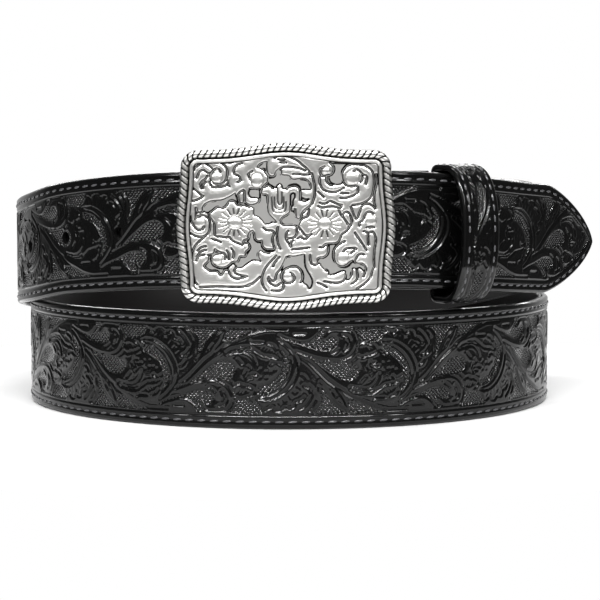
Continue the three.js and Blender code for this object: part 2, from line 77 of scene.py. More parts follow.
# %% Path of the strap
STRAP_HALF = 19.0
FACE_OUT, FACE_IN = 1.9, -0.1
LINING_OUT, LINING_IN, LINING_INSET = -0.4, -1.9, 0.3
PATH = np.array([
    (12.5, 93.3, 46.0), (25, 93.1, 45.0), (40, 92.9, 44.0), (60, 92.0, 42.5), (90, 89.0, 39.0),
    (135, 90.0, 27.0), (180, 93.0, 12.0), (225, 94.0, 1.0), (240, 94.0, 0.0), (360, 94.0, 0.0),
    (450, 94.0, 0.0), (495, 95.5, 0.0), (540, 99.5, 8.5), (585, 100.3, 23.0), (600, 99.8, 26.5),
    (630, 98.8, 33.5), (655, 98.3, 38.2), (671, 98.1, 42.2), (699, 98.1, 45.7), (720, 98.0, 46.5),
    (741, 97.5, 46.1), (765, 97.6, 43.2), (772, 97.8, 42.3),
])
TAB = np.array([(14.5, 89.4), (19, 90.2), (25, 90.65), (31, 90.55)])
BAR_ANGLE, TURN_RADIUS = 12.5, 2.15
END_ANGLE, END_STRAIGHT, END_DROP, TIP_LENGTH = 772.0, 49.7, 3.3, 31.0


def smooth_curve(x, xs, ys):
    """Curve through a table that never overshoots its points."""
    gap, rise = np.diff(xs), np.diff(ys) / np.diff(xs)
    slope = np.concatenate([[rise[0]], np.zeros(len(xs) - 2), [rise[-1]]])
    turning = rise[:-1] * rise[1:] > 0
    first, second = 2 * gap[1:] + gap[:-1], gap[1:] + 2 * gap[:-1]
    with np.errstate(divide="ignore", invalid="ignore"):
        mean = (first + second) / (first / rise[:-1] + second / rise[1:])
    slope[1:-1] = np.where(turning, mean, 0)
    i = np.clip(np.searchsorted(xs, x) - 1, 0, len(gap) - 1)
    t = (x - xs[i]) / gap[i]
    return ((2 * t**3 - 3 * t**2 + 1) * ys[i] + (t**3 - 2 * t**2 + t) * gap[i] * slope[i]
            + (3 * t**2 - 2 * t**3) * ys[i + 1] + (t**3 - t**2) * gap[i] * slope[i + 1])


def around(angle, radius, height):
    """Points at an angle in degrees from the front of the coil."""
    turn = np.radians(angle)
    return np.stack(np.broadcast_arrays(radius * np.sin(turn), -radius * np.cos(turn), height), axis=-1)


def path_radius(angle):
    return smooth_curve(np.asarray(angle, float), PATH[:, 0], PATH[:, 1])


def path_middle(angle):
    return smooth_curve(np.asarray(angle, float), PATH[:, 0], PATH[:, 2]) + STRAP_HALF


def build_path():
    """Dense stations: point, outward side, direction across, half width, length, coil angle."""
    bar_height = float(path_middle(BAR_ANGLE))
    tab_angle = np.arange(31, 14.0, -0.25)
    tab = around(tab_angle, smooth_curve(tab_angle, TAB[:, 0], TAB[:, 1]), bar_height)
    bar = around(BAR_ANGLE, float(path_radius(BAR_ANGLE)) - TURN_RADIUS, bar_height)
    out = around(BAR_ANGLE, 1.0, 0.0)
    back = np.array([out[1], -out[0], 0.0])
    turn = np.radians(np.arange(0, 180, 3.0))[:, None]
    bend = bar + TURN_RADIUS * (-np.cos(turn) * out + np.sin(turn) * back)
    coil_angle = np.arange(BAR_ANGLE, END_ANGLE + 0.01, 0.1)
    coil = around(coil_angle, path_radius(coil_angle), path_middle(coil_angle))
    along = np.arange(0.2, END_STRAIGHT, 0.1)
    way = coil[-1] - coil[-2]
    way[2] = 0
    way /= np.linalg.norm(way)
    tip = coil[-1] + along[:, None] * (way + np.array([0, 0, -END_DROP / END_STRAIGHT]))
    point = np.concatenate([tab, bend, coil, tip])
    tangent = np.gradient(point, axis=0)
    tangent /= np.linalg.norm(tangent, axis=1, keepdims=True)
    side = np.stack([tangent[:, 1], -tangent[:, 0], np.zeros(len(point))], axis=1)
    side /= np.linalg.norm(side, axis=1, keepdims=True)
    across = np.cross(side, tangent)
    half = np.full(len(point), STRAP_HALF)
    u = np.clip((along - END_STRAIGHT + TIP_LENGTH) / TIP_LENGTH, 0, 1)
    half[-len(along):] = STRAP_HALF * (1 - u**1.3) ** 0.62
    step = np.linalg.norm(np.diff(point, axis=0), axis=1)
    length = np.concatenate([[0], np.cumsum(step)])
    angle = np.concatenate([tab_angle - 40, np.linspace(-10, 12, len(turn)), coil_angle,
                            END_ANGLE + along / 1.71])
    return point, side, across, half, length, angle


POINT, SIDE, ACROSS, HALF, LENGTH, ANGLE = build_path()
strap_low, strap_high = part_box("strap_face")
own_low = (POINT + SIDE * FACE_OUT - ACROSS * HALF[:, None]).min(axis=0)
own_high = (POINT + SIDE * FACE_OUT + ACROSS * HALF[:, None]).max(axis=0)
CENTRE = (np.array(strap_low) + np.array(strap_high)) / 2 / MM - (own_low + own_high) / 2
CENTRE[2] = 0
print("strap", round(LENGTH[-1]), "mm long; coil centre at", CENTRE.round(2))


def length_at(angle):
    """Length along the strap at an angle of the coil."""
    return np.interp(angle, ANGLE, LENGTH)


# Path angles at the front of the lower and of the upper turn.
LOWER_TURN, UPPER_TURN = 360, 720
FRONT_LOW, FRONT_HIGH = float(length_at(LOWER_TURN)), float(length_at(UPPER_TURN))


def at_length(s):
    """Point, side, across and half width at lengths along the strap."""
    parts = [np.stack([np.interp(s, LENGTH, field[:, k]) for k in range(3)], axis=-1)
             for field in (POINT, SIDE, ACROSS)]
    return (*parts, np.interp(s, LENGTH, HALF))


# %% [markdown]
# ## Carved pattern as a height map
# A belt maker cuts the outline of each leaf with a swivel knife, bevels the leather down on one side
# of the cut, and mats the ground between the leaves with a checkered stamp. So the pattern here is
# made of the same things: traced cuts, and grounds that are pressed down. A height map is worked out
# once from them, and each mesh reads it at its own points. The scroll repeats every 81 mm, and its
# second half is the first one turned upside down.

# %% Height maps from cuts and grounds
def thicken(points, most=0.6):
    """The same line with points no further apart than most, in mm, eased through the traced ones."""
    points = np.array(points, float)
    if len(points) > 2:
        knots = np.concatenate([[0], np.cumsum(np.linalg.norm(np.diff(points, axis=0), axis=1))])
        t = np.arange(0, knots[-1], most)
        ends = np.vstack([2 * points[0] - points[1], points, 2 * points[-1] - points[-2]])
        i = np.clip(np.searchsorted(knots, t, side="right") - 1, 0, len(points) - 2)
        f = ((t - knots[i]) / (knots[i + 1] - knots[i]))[:, None]
        a, b, c, d = ends[i], ends[i + 1], ends[i + 2], ends[i + 3]
        eased = 0.5 * (2 * b + (c - a) * f + (2 * a - 5 * b + 4 * c - d) * f**2
                       + (3 * b - a - 3 * c + d) * f**3)
        return np.vstack([eased, points[-1]])
    return points


def distance_map(lines, xs, ys, reach):
    """Distance from each grid point to the nearest line, up to reach."""
    near = np.full((len(ys), len(xs)), reach, float)
    step = xs[1] - xs[0]
    for line in lines:
        line = thicken(line)
        for (ax, ay), (bx, by) in zip(line[:-1], line[1:]):
            x0 = max(0, int((min(ax, bx) - reach - xs[0]) / step))
            x1 = min(len(xs), int((max(ax, bx) + reach - xs[0]) / step) + 2)
            y0 = max(0, int((min(ay, by) - reach - ys[0]) / step))
            y1 = min(len(ys), int((max(ay, by) + reach - ys[0]) / step) + 2)
            if x0 >= x1 or y0 >= y1:
                continue
            gx, gy = xs[None, x0:x1], ys[y0:y1, None]
            size = (bx - ax) ** 2 + (by - ay) ** 2 + 1e-9
            t = np.clip(((gx - ax) * (bx - ax) + (gy - ay) * (by - ay)) / size, 0, 1)
            away = np.hypot(gx - ax - t * (bx - ax), gy - ay - t * (by - ay))
            near[y0:y1, x0:x1] = np.minimum(near[y0:y1, x0:x1], away)
    return near


def inside_map(outlines, xs, ys):
    """True where a grid point lies inside one of the closed outlines."""
    gx, gy = np.meshgrid(xs, ys)
    found = np.zeros(gx.shape, bool)
    for outline in outlines:
        line = thicken([*outline, outline[0]])
        odd = np.zeros(gx.shape, bool)
        for (ax, ay), (bx, by) in zip(line[:-1], line[1:]):
            if ay == by:
                continue
            crosses = (gy >= min(ay, by)) & (gy < max(ay, by))
            odd ^= crosses & (gx < ax + (gy - ay) * (bx - ax) / (by - ay))
        found |= odd
    return found


def read_map(field, xs, ys, x, y):
    """Value of a map at points, between its grid points."""
    fx = np.clip((x - xs[0]) / (xs[1] - xs[0]), 0, len(xs) - 1.001)
    fy = np.clip((y - ys[0]) / (ys[1] - ys[0]), 0, len(ys) - 1.001)
    ix, iy = fx.astype(int), fy.astype(int)
    tx, ty = fx - ix, fy - iy
    return ((field[iy, ix] * (1 - tx) + field[iy, ix + 1] * tx) * (1 - ty)
            + (field[iy + 1, ix] * (1 - tx) + field[iy + 1, ix + 1] * tx) * ty)


def step_up(value, low, high):
    """0 below low, 1 above high, smooth between."""
    t = np.clip((value - low) / (high - low), 0, 1)
    return t * t * (3 - 2 * t)


def groove(away, deep, wide, line=0.0):
    """Height in mm of a round groove at a distance from its line; a negative depth is a ridge."""
    return -deep * np.exp(-(((away - line) / wide) ** 2))


PERIOD, TWIN = 81.0, 40.5
# Where the traced half starts along the strap, and its middle height above the strap's lower edge.
TRACED_START, TRACED_MIDDLE = -43.0, 19.2


def pairs(*numbers):
    """Traced points, given as x, y, x, y and so on."""
    return np.array(numbers, float).reshape(-1, 2)


# Cuts of one half of the scroll. Along the strap zero is the middle of the belt's front, and the
# height is measured from the strap's lower edge.
LEAF_CUTS = [
    # The main stem's upper edge and its second line.
    pairs(-35.8, 14.7, -33, 16.9, -30, 20, -27, 22.9, -24, 25, -22, 26.4, -20, 27.8, -17.5, 29, -15, 30,
          -12, 31.4, -9, 32.3, -7, 32.7, -4, 32.8, 0, 32.8),
    pairs(-34, 15.2, -30, 19.3, -27, 22.2, -24, 24.4, -22, 25.6),
    # Paddle leaf with its curled tip and gouges.
    pairs(-38, 12.7, -34, 14.2, -31, 15.1, -28, 15.7, -25, 15.95, -23, 15.8, -21.5, 15.3, -20, 14.4,
          -18.8, 13, -18.1, 11.3, -18, 9.5, -18.5, 7.7, -19.6, 6.4, -21, 5.9, -24, 5.8, -26.8, 5.9,
          -27.7, 6.8, -28.4, 8.2, -28.9, 9.3),
    pairs(-26.2, 13.5, -25, 13, -24, 12.1),
    pairs(-21.8, 12.6, -20.5, 11.8, -19.9, 10.3, -20.1, 9, -21, 8, -22.5, 7.6),
    pairs(-21.5, 11.8, -21, 10.5, -21.2, 9.3),
    # Low leaf along the border.
    pairs(-43.3, 7.7, -40, 9, -37, 9.8, -34.5, 9.8, -33, 9.2, -31.5, 8.2, -30.3, 6.9),
    pairs(-38.5, 7.3, -34.7, 7.3),
    # Pointed leaf.
    pairs(-30, 22.8, -29, 23.8, -28, 25.5, -27, 27.2, -25.75, 29, -24, 30.7, -22, 31.9, -19.8, 32.7),
    pairs(-19.8, 32.7, -21, 31, -21.5, 29.5, -22.5, 27.8, -24, 26, -25, 24.3, -28, 21.3, -31, 18.7,
          -34, 16, -35.5, 14.9),
    pairs(-25.8, 26.0, -24.7, 27.6),
    # Fan leaf.
    pairs(-34, 32.6, -32.5, 32.25, -31, 31.25, -30.25, 30, -29.9, 28.5, -30, 26, -30.25, 24),
    pairs(-36.5, 31.75, -35, 30.5, -33.75, 29, -32.75, 27.25, -32.4, 25.75, -32.75, 24.5, -33.75, 23.75),
    pairs(-31.4, 27.4, -31.4, 29.0),
    # Round scroll band and the leaf that closes it.
    pairs(1.1, 23.5, 1.3, 21.5, 1.1, 19.5, 0.5, 17.7, -0.5, 16, -1.8, 14.3, -3.3, 13, -5, 11.9, -7, 11.2,
          -9, 10.8, -10, 10.4),
    pairs(-3, 29.5, -1, 28, 1, 26, 2.5, 24, 3.3, 21.5, 3.2, 19, 2.3, 16.5, 1, 14.3, -1, 12.3, -3.5, 10.7,
          -6, 9.9, -9, 9.8, -10.3, 10.2),
    pairs(-20, 24.5, -18, 25, -15.5, 25.4, -14, 25.3, -12.7, 24.8, -11.7, 24, -10.8, 22.8, -10.3, 21.5,
          -10.2, 20.5),
    pairs(-20, 25.2, -17, 26.1, -14, 26.2, -11.5, 25.5),
    pairs(-16.3, 23, -15.4, 22, -14.7, 21.3),
    pairs(-12.8, 20.8, -12.2, 19.8, -12.8, 18.6),
    pairs(-14, 18, -13.4, 19.4),
    pairs(-13.3, 16.2, -12.5, 17, -11.6, 16.8),
    pairs(-13.8, 14.4, -12, 13.8, -11, 13, -11.2, 12, -12.3, 10.9, -14, 10.3, -16, 10.1, -17, 10.5),
    # Flower inside the scroll.
    pairs(-12, 29, -12, 28.6, -8, 28.5),
    pairs(-6.2, 28.1, -4.5, 27.5, -3.6, 26.2),
    pairs(-3.4, 25, -2.3, 23.5),
    pairs(-3.2, 22, -1.8, 21, -0.2, 20.2),
    pairs(-5.4, 21.3, -5, 22, -4, 22.1),
    # Frilled flower outside the scroll.
    pairs(4.6, 18, 5.5, 17.5, 6.3, 16.2),
    pairs(8.7, 11.7, 8.8, 10, 8.2, 8, 7.5, 7.2),
    pairs(5.2, 14.6, 6.8, 13.6, 7.6, 12.2),
    pairs(-9.5, 8.6, -8.2, 6.9, -6.6, 6.5, -5.2, 7.4, -4.2, 6.2, -2.4, 5.9, -0.9, 7.2, 0.4, 6.9, 1.9, 7.2,
          2.6, 9, 4.2, 9.4, 5.3, 10.7),
    # Scallops of the leaf above the low stem.
    pairs(20.8, 22.2, 22, 23, 23, 24.3, 23.5, 23.8, 25, 23.5, 26, 24.2),
    pairs(27, 21.5, 27.5, 20.5, 29, 20.2, 30.5, 20.5),
    pairs(26, 28.6, 27.5, 29.2, 28.7, 30, 29.5, 31),
    pairs(31, 30.7, 32.2, 31.3, 32.8, 32.3, 32.2, 33.1),
    pairs(21.5, 12.4, 23, 12, 25, 11.5, 27, 11.3, 28.2, 11.5, 29.5, 12.3, 31, 13.2, 32.5, 14.1, 35.5, 14.6,
          37.5, 15.3),
]
# Shallow strokes: hatching on the curled tip, and the rays of the frilled flower.
FINE_CUTS = [pairs(-17.2 + k, 12.3 - 0.45 * k, -15.8 + k, 14.3 - 0.35 * k) for k in (0, 0.8, 1.6, 2.4)]
FINE_CUTS += [pairs(-8.4, 9.4, -8.6, 8.2), pairs(-6.6, 9.3, -6.6, 7.9), pairs(-4.8, 9.6, -4.6, 8.1),
              pairs(-3.2, 10, -2.8, 8.4), pairs(-1.6, 10.6, -1, 9), pairs(0.2, 11.7, 1, 10.2),
              pairs(1.5, 12.9, 2.5, 11.7), pairs(2.7, 14.6, 4, 13.6)]
FINE_CUTS += [pairs(-9 + 0.9 * k, 25.6 - 0.35 * k, -7.6 + 0.9 * k, 27.2 - 0.4 * k) for k in range(6)]
# Small round stamps: the seeder and the eyes of the petals.
SEEDS = pairs(-11, 9, -7, 7.6, -3.2, 6.9, 0.5, 8.1, 4, 11.3, -41, 28.9, -37.5, 25.9, -34.7, 23.7,
              -8.9, 19.8, -7, 19, -5.5, 18.9, -4.2, 19.5, -2.1, 18.6, -9, 17.1, -6.9, 16.9, -10.7, 15)
# Grounds that are pressed down and matted.
LEAF_GROUNDS = [
    pairs(-33, 15, -30, 17.2, -27, 19.5, -24.5, 21.2, -22, 22.2, -19.8, 22.3, -18, 21.5, -17.1, 20,
          -17.3, 18.3, -18.5, 17.2, -20, 16.9, -22, 16.3, -25, 16.3, -28, 16.2, -31, 15.4),
    pairs(-43.3, 7.7, -40, 8.9, -36.5, 10.3, -34, 11.2, -31.5, 12.1, -29, 12.5, -26.5, 12.3, -25, 11.6,
          -24.2, 10.4, -24.4, 9.1, -25.3, 8.3, -26.8, 8.1, -28, 8.7, -29.1, 9.5, -29, 8.3, -28, 6.5,
          -28.2, 5.6, -30.3, 5.6, -30.5, 7, -31.8, 8.4, -33.2, 9.5, -35, 10, -37, 9.8, -40, 8.8),
    pairs(-18.5, 14, -17.2, 12, -17, 10, -17.6, 7, -18.5, 6, -20, 5.4, -14, 5.2, -8.5, 5.4, -9, 8, -11, 9.5,
          -13, 9.9, -16, 9.9, -17.2, 10.4),
    pairs(-29.8, 24, -29.4, 28.5, -30, 30.6, -31.5, 32.1, -33, 33.3, -27, 33.4, -20, 33.3, -22.2, 32.3,
          -24.4, 31, -26.2, 29.2, -27.6, 27, -28.6, 25),
    pairs(-21, 29.2, -20.4, 31, -19, 33, -14, 33.4, -8.2, 33.3, -10, 32.4, -13, 31.4, -16, 30, -18.5, 29),
    pairs(-2.6, 14.6, -1, 16.4, 0, 18.5, 0.6, 21, 0.2, 23.6, -1.4, 25.8, -2.4, 26.4, -1.6, 24.4, -1.2, 22.4,
          -1.8, 20, -3, 17.6, -5, 15.6, -7.4, 14.4, -9.6, 13.6, -9.4, 11.6, -6.4, 12.2, -4.2, 13.2),
]


def repeat(shapes):
    """A traced half, its upside-down twin, and their neighbours along the strap."""
    half = [shape - (TRACED_START, TRACED_MIDDLE) for shape in shapes]
    twin = [shape * (1, -1) + (TWIN, 0) for shape in half]
    return [shape + (k * PERIOD, 0) for shape in half + twin for k in (-1, 0, 1)]


def pattern_maps():
    """Height in mm and matting of one period of the scroll."""
    xs, ys = np.arange(0, PERIOD + 0.19, 0.18), np.arange(-14.6, 14.7, 0.18)
    cuts = distance_map(repeat(LEAF_CUTS), xs, ys, 3.5)
    outlines = [np.vstack([g, g[:1]]) for g in LEAF_GROUNDS]
    rim = distance_map(repeat(outlines), xs, ys, 3.5)
    fine = distance_map(repeat(FINE_CUTS), xs, ys, 3.0)
    sunk = inside_map(repeat(LEAF_GROUNDS), xs, ys)
    seeds = distance_map([np.vstack([s, s + 0.05]) for s in repeat([q[None] for q in SEEDS])], xs, ys, 3)
    into = np.where(sunk, rim, -rim)
    ground = step_up(into, -0.12, 0.22)
    edge = np.minimum(cuts, np.where(sunk, 9, rim))
    # A bevel beside each cut, the cut itself, the lip that it raises, the seeds and the fine strokes.
    leaf = -0.20 * np.exp(-edge / 0.7) + groove(cuts, 0.27, 0.24)
    leaf = leaf + groove(cuts, -0.14, 0.35, line=0.75) + groove(seeds, 0.22, 0.3)
    leaf = leaf + groove(fine, 0.16, 0.2)
    return xs, ys, leaf * (1 - ground) - 0.5 * ground, ground


PATTERN_X, PATTERN_Y, PATTERN_HEIGHT, PATTERN_GROUND = pattern_maps()
# The upper strap's scroll sits 20 mm further along than the lower one's; the back run takes that up.
PATTERN_PLACE = np.array([(-700, -707), (-130, -132), (0, 0), (130, 132), (440, 418), (587, 564.5),
                          (658, 643.5), (695, 675), (900, 880)], float)
print("pattern map", PATTERN_HEIGHT.shape, PATTERN_HEIGHT.min().round(2), PATTERN_HEIGHT.max().round(2))

# %% [markdown]
# ## Materials
# The strap is veg-tanned leather, dyed black and finished with a gloss resolene, so its highlights are
# small and crisp over a near-black base. The plate is cast zinc with a plate of silver that was
# darkened and then polished back, so it stays dark in the low places, and its sunk grounds carry a
# little painted shade. The thread is waxed and black.
# Colours are written as sRGB hex values, and one function turns them to linear light.

# %% Materials
def colour(code):
    """Linear colour of an sRGB hex code."""
    parts = [int(code[i:i + 2], 16) / 255 for i in (1, 3, 5)]
    return (*[c / 12.92 if c <= 0.04045 else ((c + 0.055) / 1.055) ** 2.4 for c in parts], 1.0)


def add_node(tree, kind, settings=None, links=None):
    """A shader node with its settings and with links given as {input: output socket}."""
    node = tree.nodes.new(kind)
    for key, value in (settings or {}).items():
        if key in node.inputs:
            node.inputs[key].default_value = value
        else:
            setattr(node, key, value)
    for key, source in (links or {}).items():
        tree.links.new(source, node.inputs[key])
    return node


def new_material(name, **settings):
    """A material whose shader has these values, and its node tree."""
    material = bpy.data.materials.new(name)
    material.use_nodes = True
    shader = material.node_tree.nodes["Principled BSDF"]
    for key, value in settings.items():
        shader.inputs[key.replace("_", " ")].default_value = value
    return material, material.node_tree, shader


# Black leather with a gloss finish: a low base colour and a thin clear coat. The grain is pebbles of
# about 0.5 mm, and the stamped ground is a checker of 0.95 mm, as the real stamp leaves it.
black_leather, tree, shader = new_material(
    "gloss_black_leather", Base_Color=colour("#040404"), Roughness=0.3, IOR=1.15,
    Coat_Weight=0.55, Coat_Roughness=0.07)
place = add_node(tree, "ShaderNodeAttribute", {"attribute_name": "strap_mm"})
ground = add_node(tree, "ShaderNodeAttribute", {"attribute_name": "matted"})
turned = add_node(tree, "ShaderNodeMapping", {"Rotation": (0, 0, math.radians(45))},
                  {"Vector": place.outputs["Vector"]})
checks = add_node(tree, "ShaderNodeTexVoronoi", {"Scale": 1 / 0.95, "Randomness": 0.12},
                  {"Vector": turned.outputs["Vector"]})
grain = add_node(tree, "ShaderNodeTexNoise", {"Scale": 1 / 0.5, "Detail": 2.0},
                 {"Vector": place.outputs["Vector"]})
domed = add_node(tree, "ShaderNodeMath", {"operation": "MULTIPLY"},
                 {0: checks.outputs["Distance"], 1: checks.outputs["Distance"]})
dots = add_node(tree, "ShaderNodeMath", {"operation": "MULTIPLY"},
                {0: domed.outputs[0], 1: ground.outputs["Fac"]})
pressed = add_node(tree, "ShaderNodeBump", {"Strength": 1.0, "Distance": 0.8 * MM, "invert": True},
                   {"Height": dots.outputs[0]})
pebbled = add_node(tree, "ShaderNodeBump", {"Strength": 0.25, "Distance": 0.05 * MM},
                   {"Height": grain.outputs["Fac"], "Normal": pressed.outputs["Normal"]})
finish = add_node(tree, "ShaderNodeMapRange", {"To Min": 0.5, "To Max": 1.0},
                  {"Value": ground.outputs["Fac"]})
tree.links.new(finish.outputs["Result"], shader.inputs["Coat Weight"])
tree.links.new(pebbled.outputs["Normal"], shader.inputs["Normal"])
tree.links.new(pebbled.outputs["Normal"], shader.inputs["Coat Normal"])

# The lining is unglazed leather: no coat, and a broad soft sheen.
lining_leather, tree, shader = new_material(
    "matt_lining_leather", Base_Color=colour("#040303"), Roughness=0.5, IOR=1.3)
fibre = add_node(tree, "ShaderNodeTexNoise", {"Scale": 900.0, "Detail": 3.0},
                 {"Vector": add_node(tree, "ShaderNodeTexCoord").outputs["Object"]})
rough = add_node(tree, "ShaderNodeBump", {"Strength": 0.3, "Distance": 0.1 * MM},
                 {"Height": fibre.outputs["Fac"]})
tree.links.new(rough.outputs["Normal"], shader.inputs["Normal"])

# Raw cut edge inside the punched holes: dull and black, its colour darker than the face leather as painted
# shade inside the holes.
raw_edge_painted_shade, _, _ = new_material("raw_leather_edge_painted_shade", Base_Color=colour("#020202"), Roughness=0.9, IOR=1.2)

# Waxed polyester thread: black, with its colour lifted to dark grey as a painted sheen, and a faint shine.
thread_painted_sheen, _, _ = new_material("black_thread_painted_sheen", Base_Color=colour("#424244"), Roughness=0.25)

# Antiqued silver plate: the metal is bright where it was polished back, and dark in the recesses; the sunk
# grounds are also a little darker as painted shade.
antique_silver, tree, shader = new_material(
    "antiqued_silver_plate", Base_Color=colour("#d9d8d5"), Metallic=1.0, Roughness=0.35)
depth = add_node(tree, "ShaderNodeAttribute", {"attribute_name": "tarnish_and_shade"})
tint = add_node(tree, "ShaderNodeMix", {"data_type": "RGBA"}, {0: depth.outputs["Fac"]})
tint.inputs[6].default_value = colour("#d9d8d5")
tint.inputs[7].default_value = colour("#121110")
tree.links.new(tint.outputs[2], shader.inputs["Base Color"])
hammered = add_node(tree, "ShaderNodeAttribute", {"attribute_name": "matted"})
where = add_node(tree, "ShaderNodeAttribute", {"attribute_name": "plate_mm"})
pits = add_node(tree, "ShaderNodeTexVoronoi", {"Scale": 1 / 0.45},
                {"Vector": where.outputs["Vector"]})
pitted = add_node(tree, "ShaderNodeMath", {"operation": "MULTIPLY"},
                  {0: pits.outputs["Distance"], 1: hammered.outputs["Fac"]})
cast = add_node(tree, "ShaderNodeBump", {"Strength": 0.8, "Distance": 0.12 * MM},
                {"Height": pitted.outputs[0]})
worn = add_node(tree, "ShaderNodeTexNoise", {"Scale": 1 / 0.9, "Detail": 3.0},
                {"Vector": where.outputs["Vector"]})
mottled = add_node(tree, "ShaderNodeBump", {"Strength": 0.5, "Distance": 0.16 * MM},
                   {"Height": worn.outputs["Fac"], "Normal": cast.outputs["Normal"]})
tree.links.new(mottled.outputs["Normal"], shader.inputs["Normal"])

# Nickel-plated snap caps: plain bright metal.
snap_nickel, _, _ = new_material("polished_nickel", Base_Color=colour("#cfcdc8"), Metallic=1.0,
                                 Roughness=0.18)


# %% [markdown]
# ## From a bmesh to a piece
# Each piece starts as a bmesh grid or another plain shape, and its vertices are then moved to where
# the strap or the plate puts them. One function places a finished bmesh in the scene, at the origin,
# with its faces smooth and turned outward.

# %% Helpers for pieces
made_here = []


def finish_piece(bm, name, material, smooth=True, sharp=math.radians(50)):
    """Object from a bmesh whose vertices are in metres in the row frame."""
    bmesh.ops.recalc_face_normals(bm, faces=bm.faces)
    mesh = bpy.data.meshes.new(name)
    bm.to_mesh(mesh)
    bm.free()
    mesh.polygons.foreach_set("use_smooth", np.full(len(mesh.polygons), smooth))
    if smooth:
        mesh.set_sharp_from_angle(angle=sharp)
    mesh.materials.append(material)
    piece = bpy.data.objects.new(name, mesh)
    bpy.context.collection.objects.link(piece)
    made_here.append(piece.name)
    print(name, sum(len(p.vertices) - 2 for p in mesh.polygons), "triangles")
    return piece


def set_points(bm, points):
    """Moves the vertices, in the order they were made, to points in mm round the coil's centre."""
    for vert, (x, y, z) in zip(bm.verts, ((points + CENTRE) * MM).tolist()):
        vert.co = (x, y, z)


def grid_mesh(columns, rows):
    """A bmesh grid and the column and row number of each vertex."""
    bm = bmesh.new()
    bmesh.ops.create_grid(bm, x_segments=columns - 1, y_segments=rows - 1, size=0.5)
    bm.verts.ensure_lookup_table()
    place = np.array([(v.co.x, v.co.y) for v in bm.verts])
    column = np.rint((place[:, 0] + 0.5) * (columns - 1)).astype(int)
    row = np.rint((place[:, 1] + 0.5) * (rows - 1)).astype(int)
    return bm, column, row


def keep_values(bm, name, values):
    """Stores a number or a vector for each vertex, for the materials to read."""
    if values.ndim == 1:
        layer = bm.verts.layers.float.new(name)
        for vert, value in zip(bm.verts, values.tolist()):
            vert[layer] = value
    else:
        layer = bm.verts.layers.float_vector.new(name)
        for vert, value in zip(bm.verts, values.tolist()):
            vert[layer] = value


# %% [markdown]
# ## The strap's face leather
# The face leather carries all the tooling. A single plane with a displacement modifier would lose the
# crisp cuts, so each stretch of strap is a fine grid: its rows run round the section, from the back
# over the rounded lower edge, across the face and back over the upper edge. Stretches that face the
# camera in the photo are finer. The joins lie where something covers them.

# %% Face leather
EDGE_ROUND = 0.95
CREASE, STITCH_LINE, FIELD_EDGE = 4.5, 2.55, 4.95


def section_rows(count):
    """Rows of the section: outward offset, distance in from the edge, and place across from -1 to 1."""
    curl = [(-0.1, 0.3), (0.2, 0.0), (0.8, 0.04), (1.3, 0.24), (1.68, 0.58)]
    low = [(n, e, -1.0) for n, e in curl]
    face = [(FACE_OUT, EDGE_ROUND, t) for t in np.linspace(-1, 1, count)]
    high = [(n, e, 1.0) for n, e in reversed(curl)]
    return np.array([*low, *face, *high, low[0]])


def strap_relief(s, w, half):
    """Height of the tooled face above its plain level, and how matted the ground is there."""
    edge = half - np.abs(w)
    height = groove(edge, 0.32, 0.3, line=CREASE) + groove(edge, 0.22, 0.45, line=STITCH_LINE)
    field = step_up(edge, FIELD_EDGE - 0.15, FIELD_EDGE + 0.15)
    carved, ground = tooling_at(s, w)
    return height + carved * field, ground * field


def tooling_at(s, w):
    """Height and matting of the scroll at lengths along the strap and places across it."""
    x = (np.interp(s - FRONT_LOW, PATTERN_PLACE[:, 0], PATTERN_PLACE[:, 1]) - TRACED_START) % PERIOD
    y = w - 0.2
    return [read_map(field, PATTERN_X, PATTERN_Y, x, y) for field in (PATTERN_HEIGHT, PATTERN_GROUND)]


def close_section(bm, row):
    """Joins the first and last row of a section into a tube and fills its two ends."""
    seam = [v for v, r in zip(bm.verts, row) if r in (0, row.max())]
    bmesh.ops.remove_doubles(bm, verts=seam, dist=0.0001 * MM)
    bmesh.ops.holes_fill(bm, edges=[e for e in bm.edges if e.is_boundary], sides=0)


def strap_piece(name, start, end, step, rows=94):
    """One stretch of face leather between two lengths along the strap."""
    section = section_rows(int(rows / DETAIL))
    columns = int((end - start) / (step * DETAIL)) + 2
    s_all = np.linspace(start, end, columns)
    bm, column, row = grid_mesh(columns, len(section))
    s, part = s_all[column], section[row]
    point, side, across, half = at_length(s)
    reach = np.maximum(half - part[:, 1], 0.15)
    w = part[:, 2] * reach
    on_face = part[:, 0] == FACE_OUT
    height, matted = strap_relief(s, w, half)
    offset = part[:, 0] + np.where(on_face, height, 0)
    set_points(bm, point + side * offset[:, None] + across * w[:, None])
    keep_values(bm, "strap_mm", np.stack([s, w, np.zeros_like(s)], axis=1))
    keep_values(bm, "matted", np.where(on_face, matted, 0))
    close_section(bm, row)
    piece = finish_piece(bm, name, black_leather)
    return piece


STRETCHES = [
    ("strap_face_turned_end", 0.0, float(length_at(100)), 0.75),
    ("strap_face_inner_run", float(length_at(100)), float(length_at(275)), 0.8),
    ("strap_face_front_low", float(length_at(275)), float(length_at(445)), 0.32),
    ("strap_face_back_run", float(length_at(445)), float(length_at(633)), 0.6),
    ("strap_face_front_left", float(length_at(633)), FRONT_HIGH, 0.26),
    ("strap_face_tip_run", FRONT_HIGH, float(LENGTH[-1]) - 0.15, 0.26),
]
face_pieces = [strap_piece(*row) for row in STRETCHES]
for piece in face_pieces:
    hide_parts("strap_face")

# %% [markdown]
# ## The lining
# The inner leather is plain, so a coarse grid is enough. It follows the same path as the face.

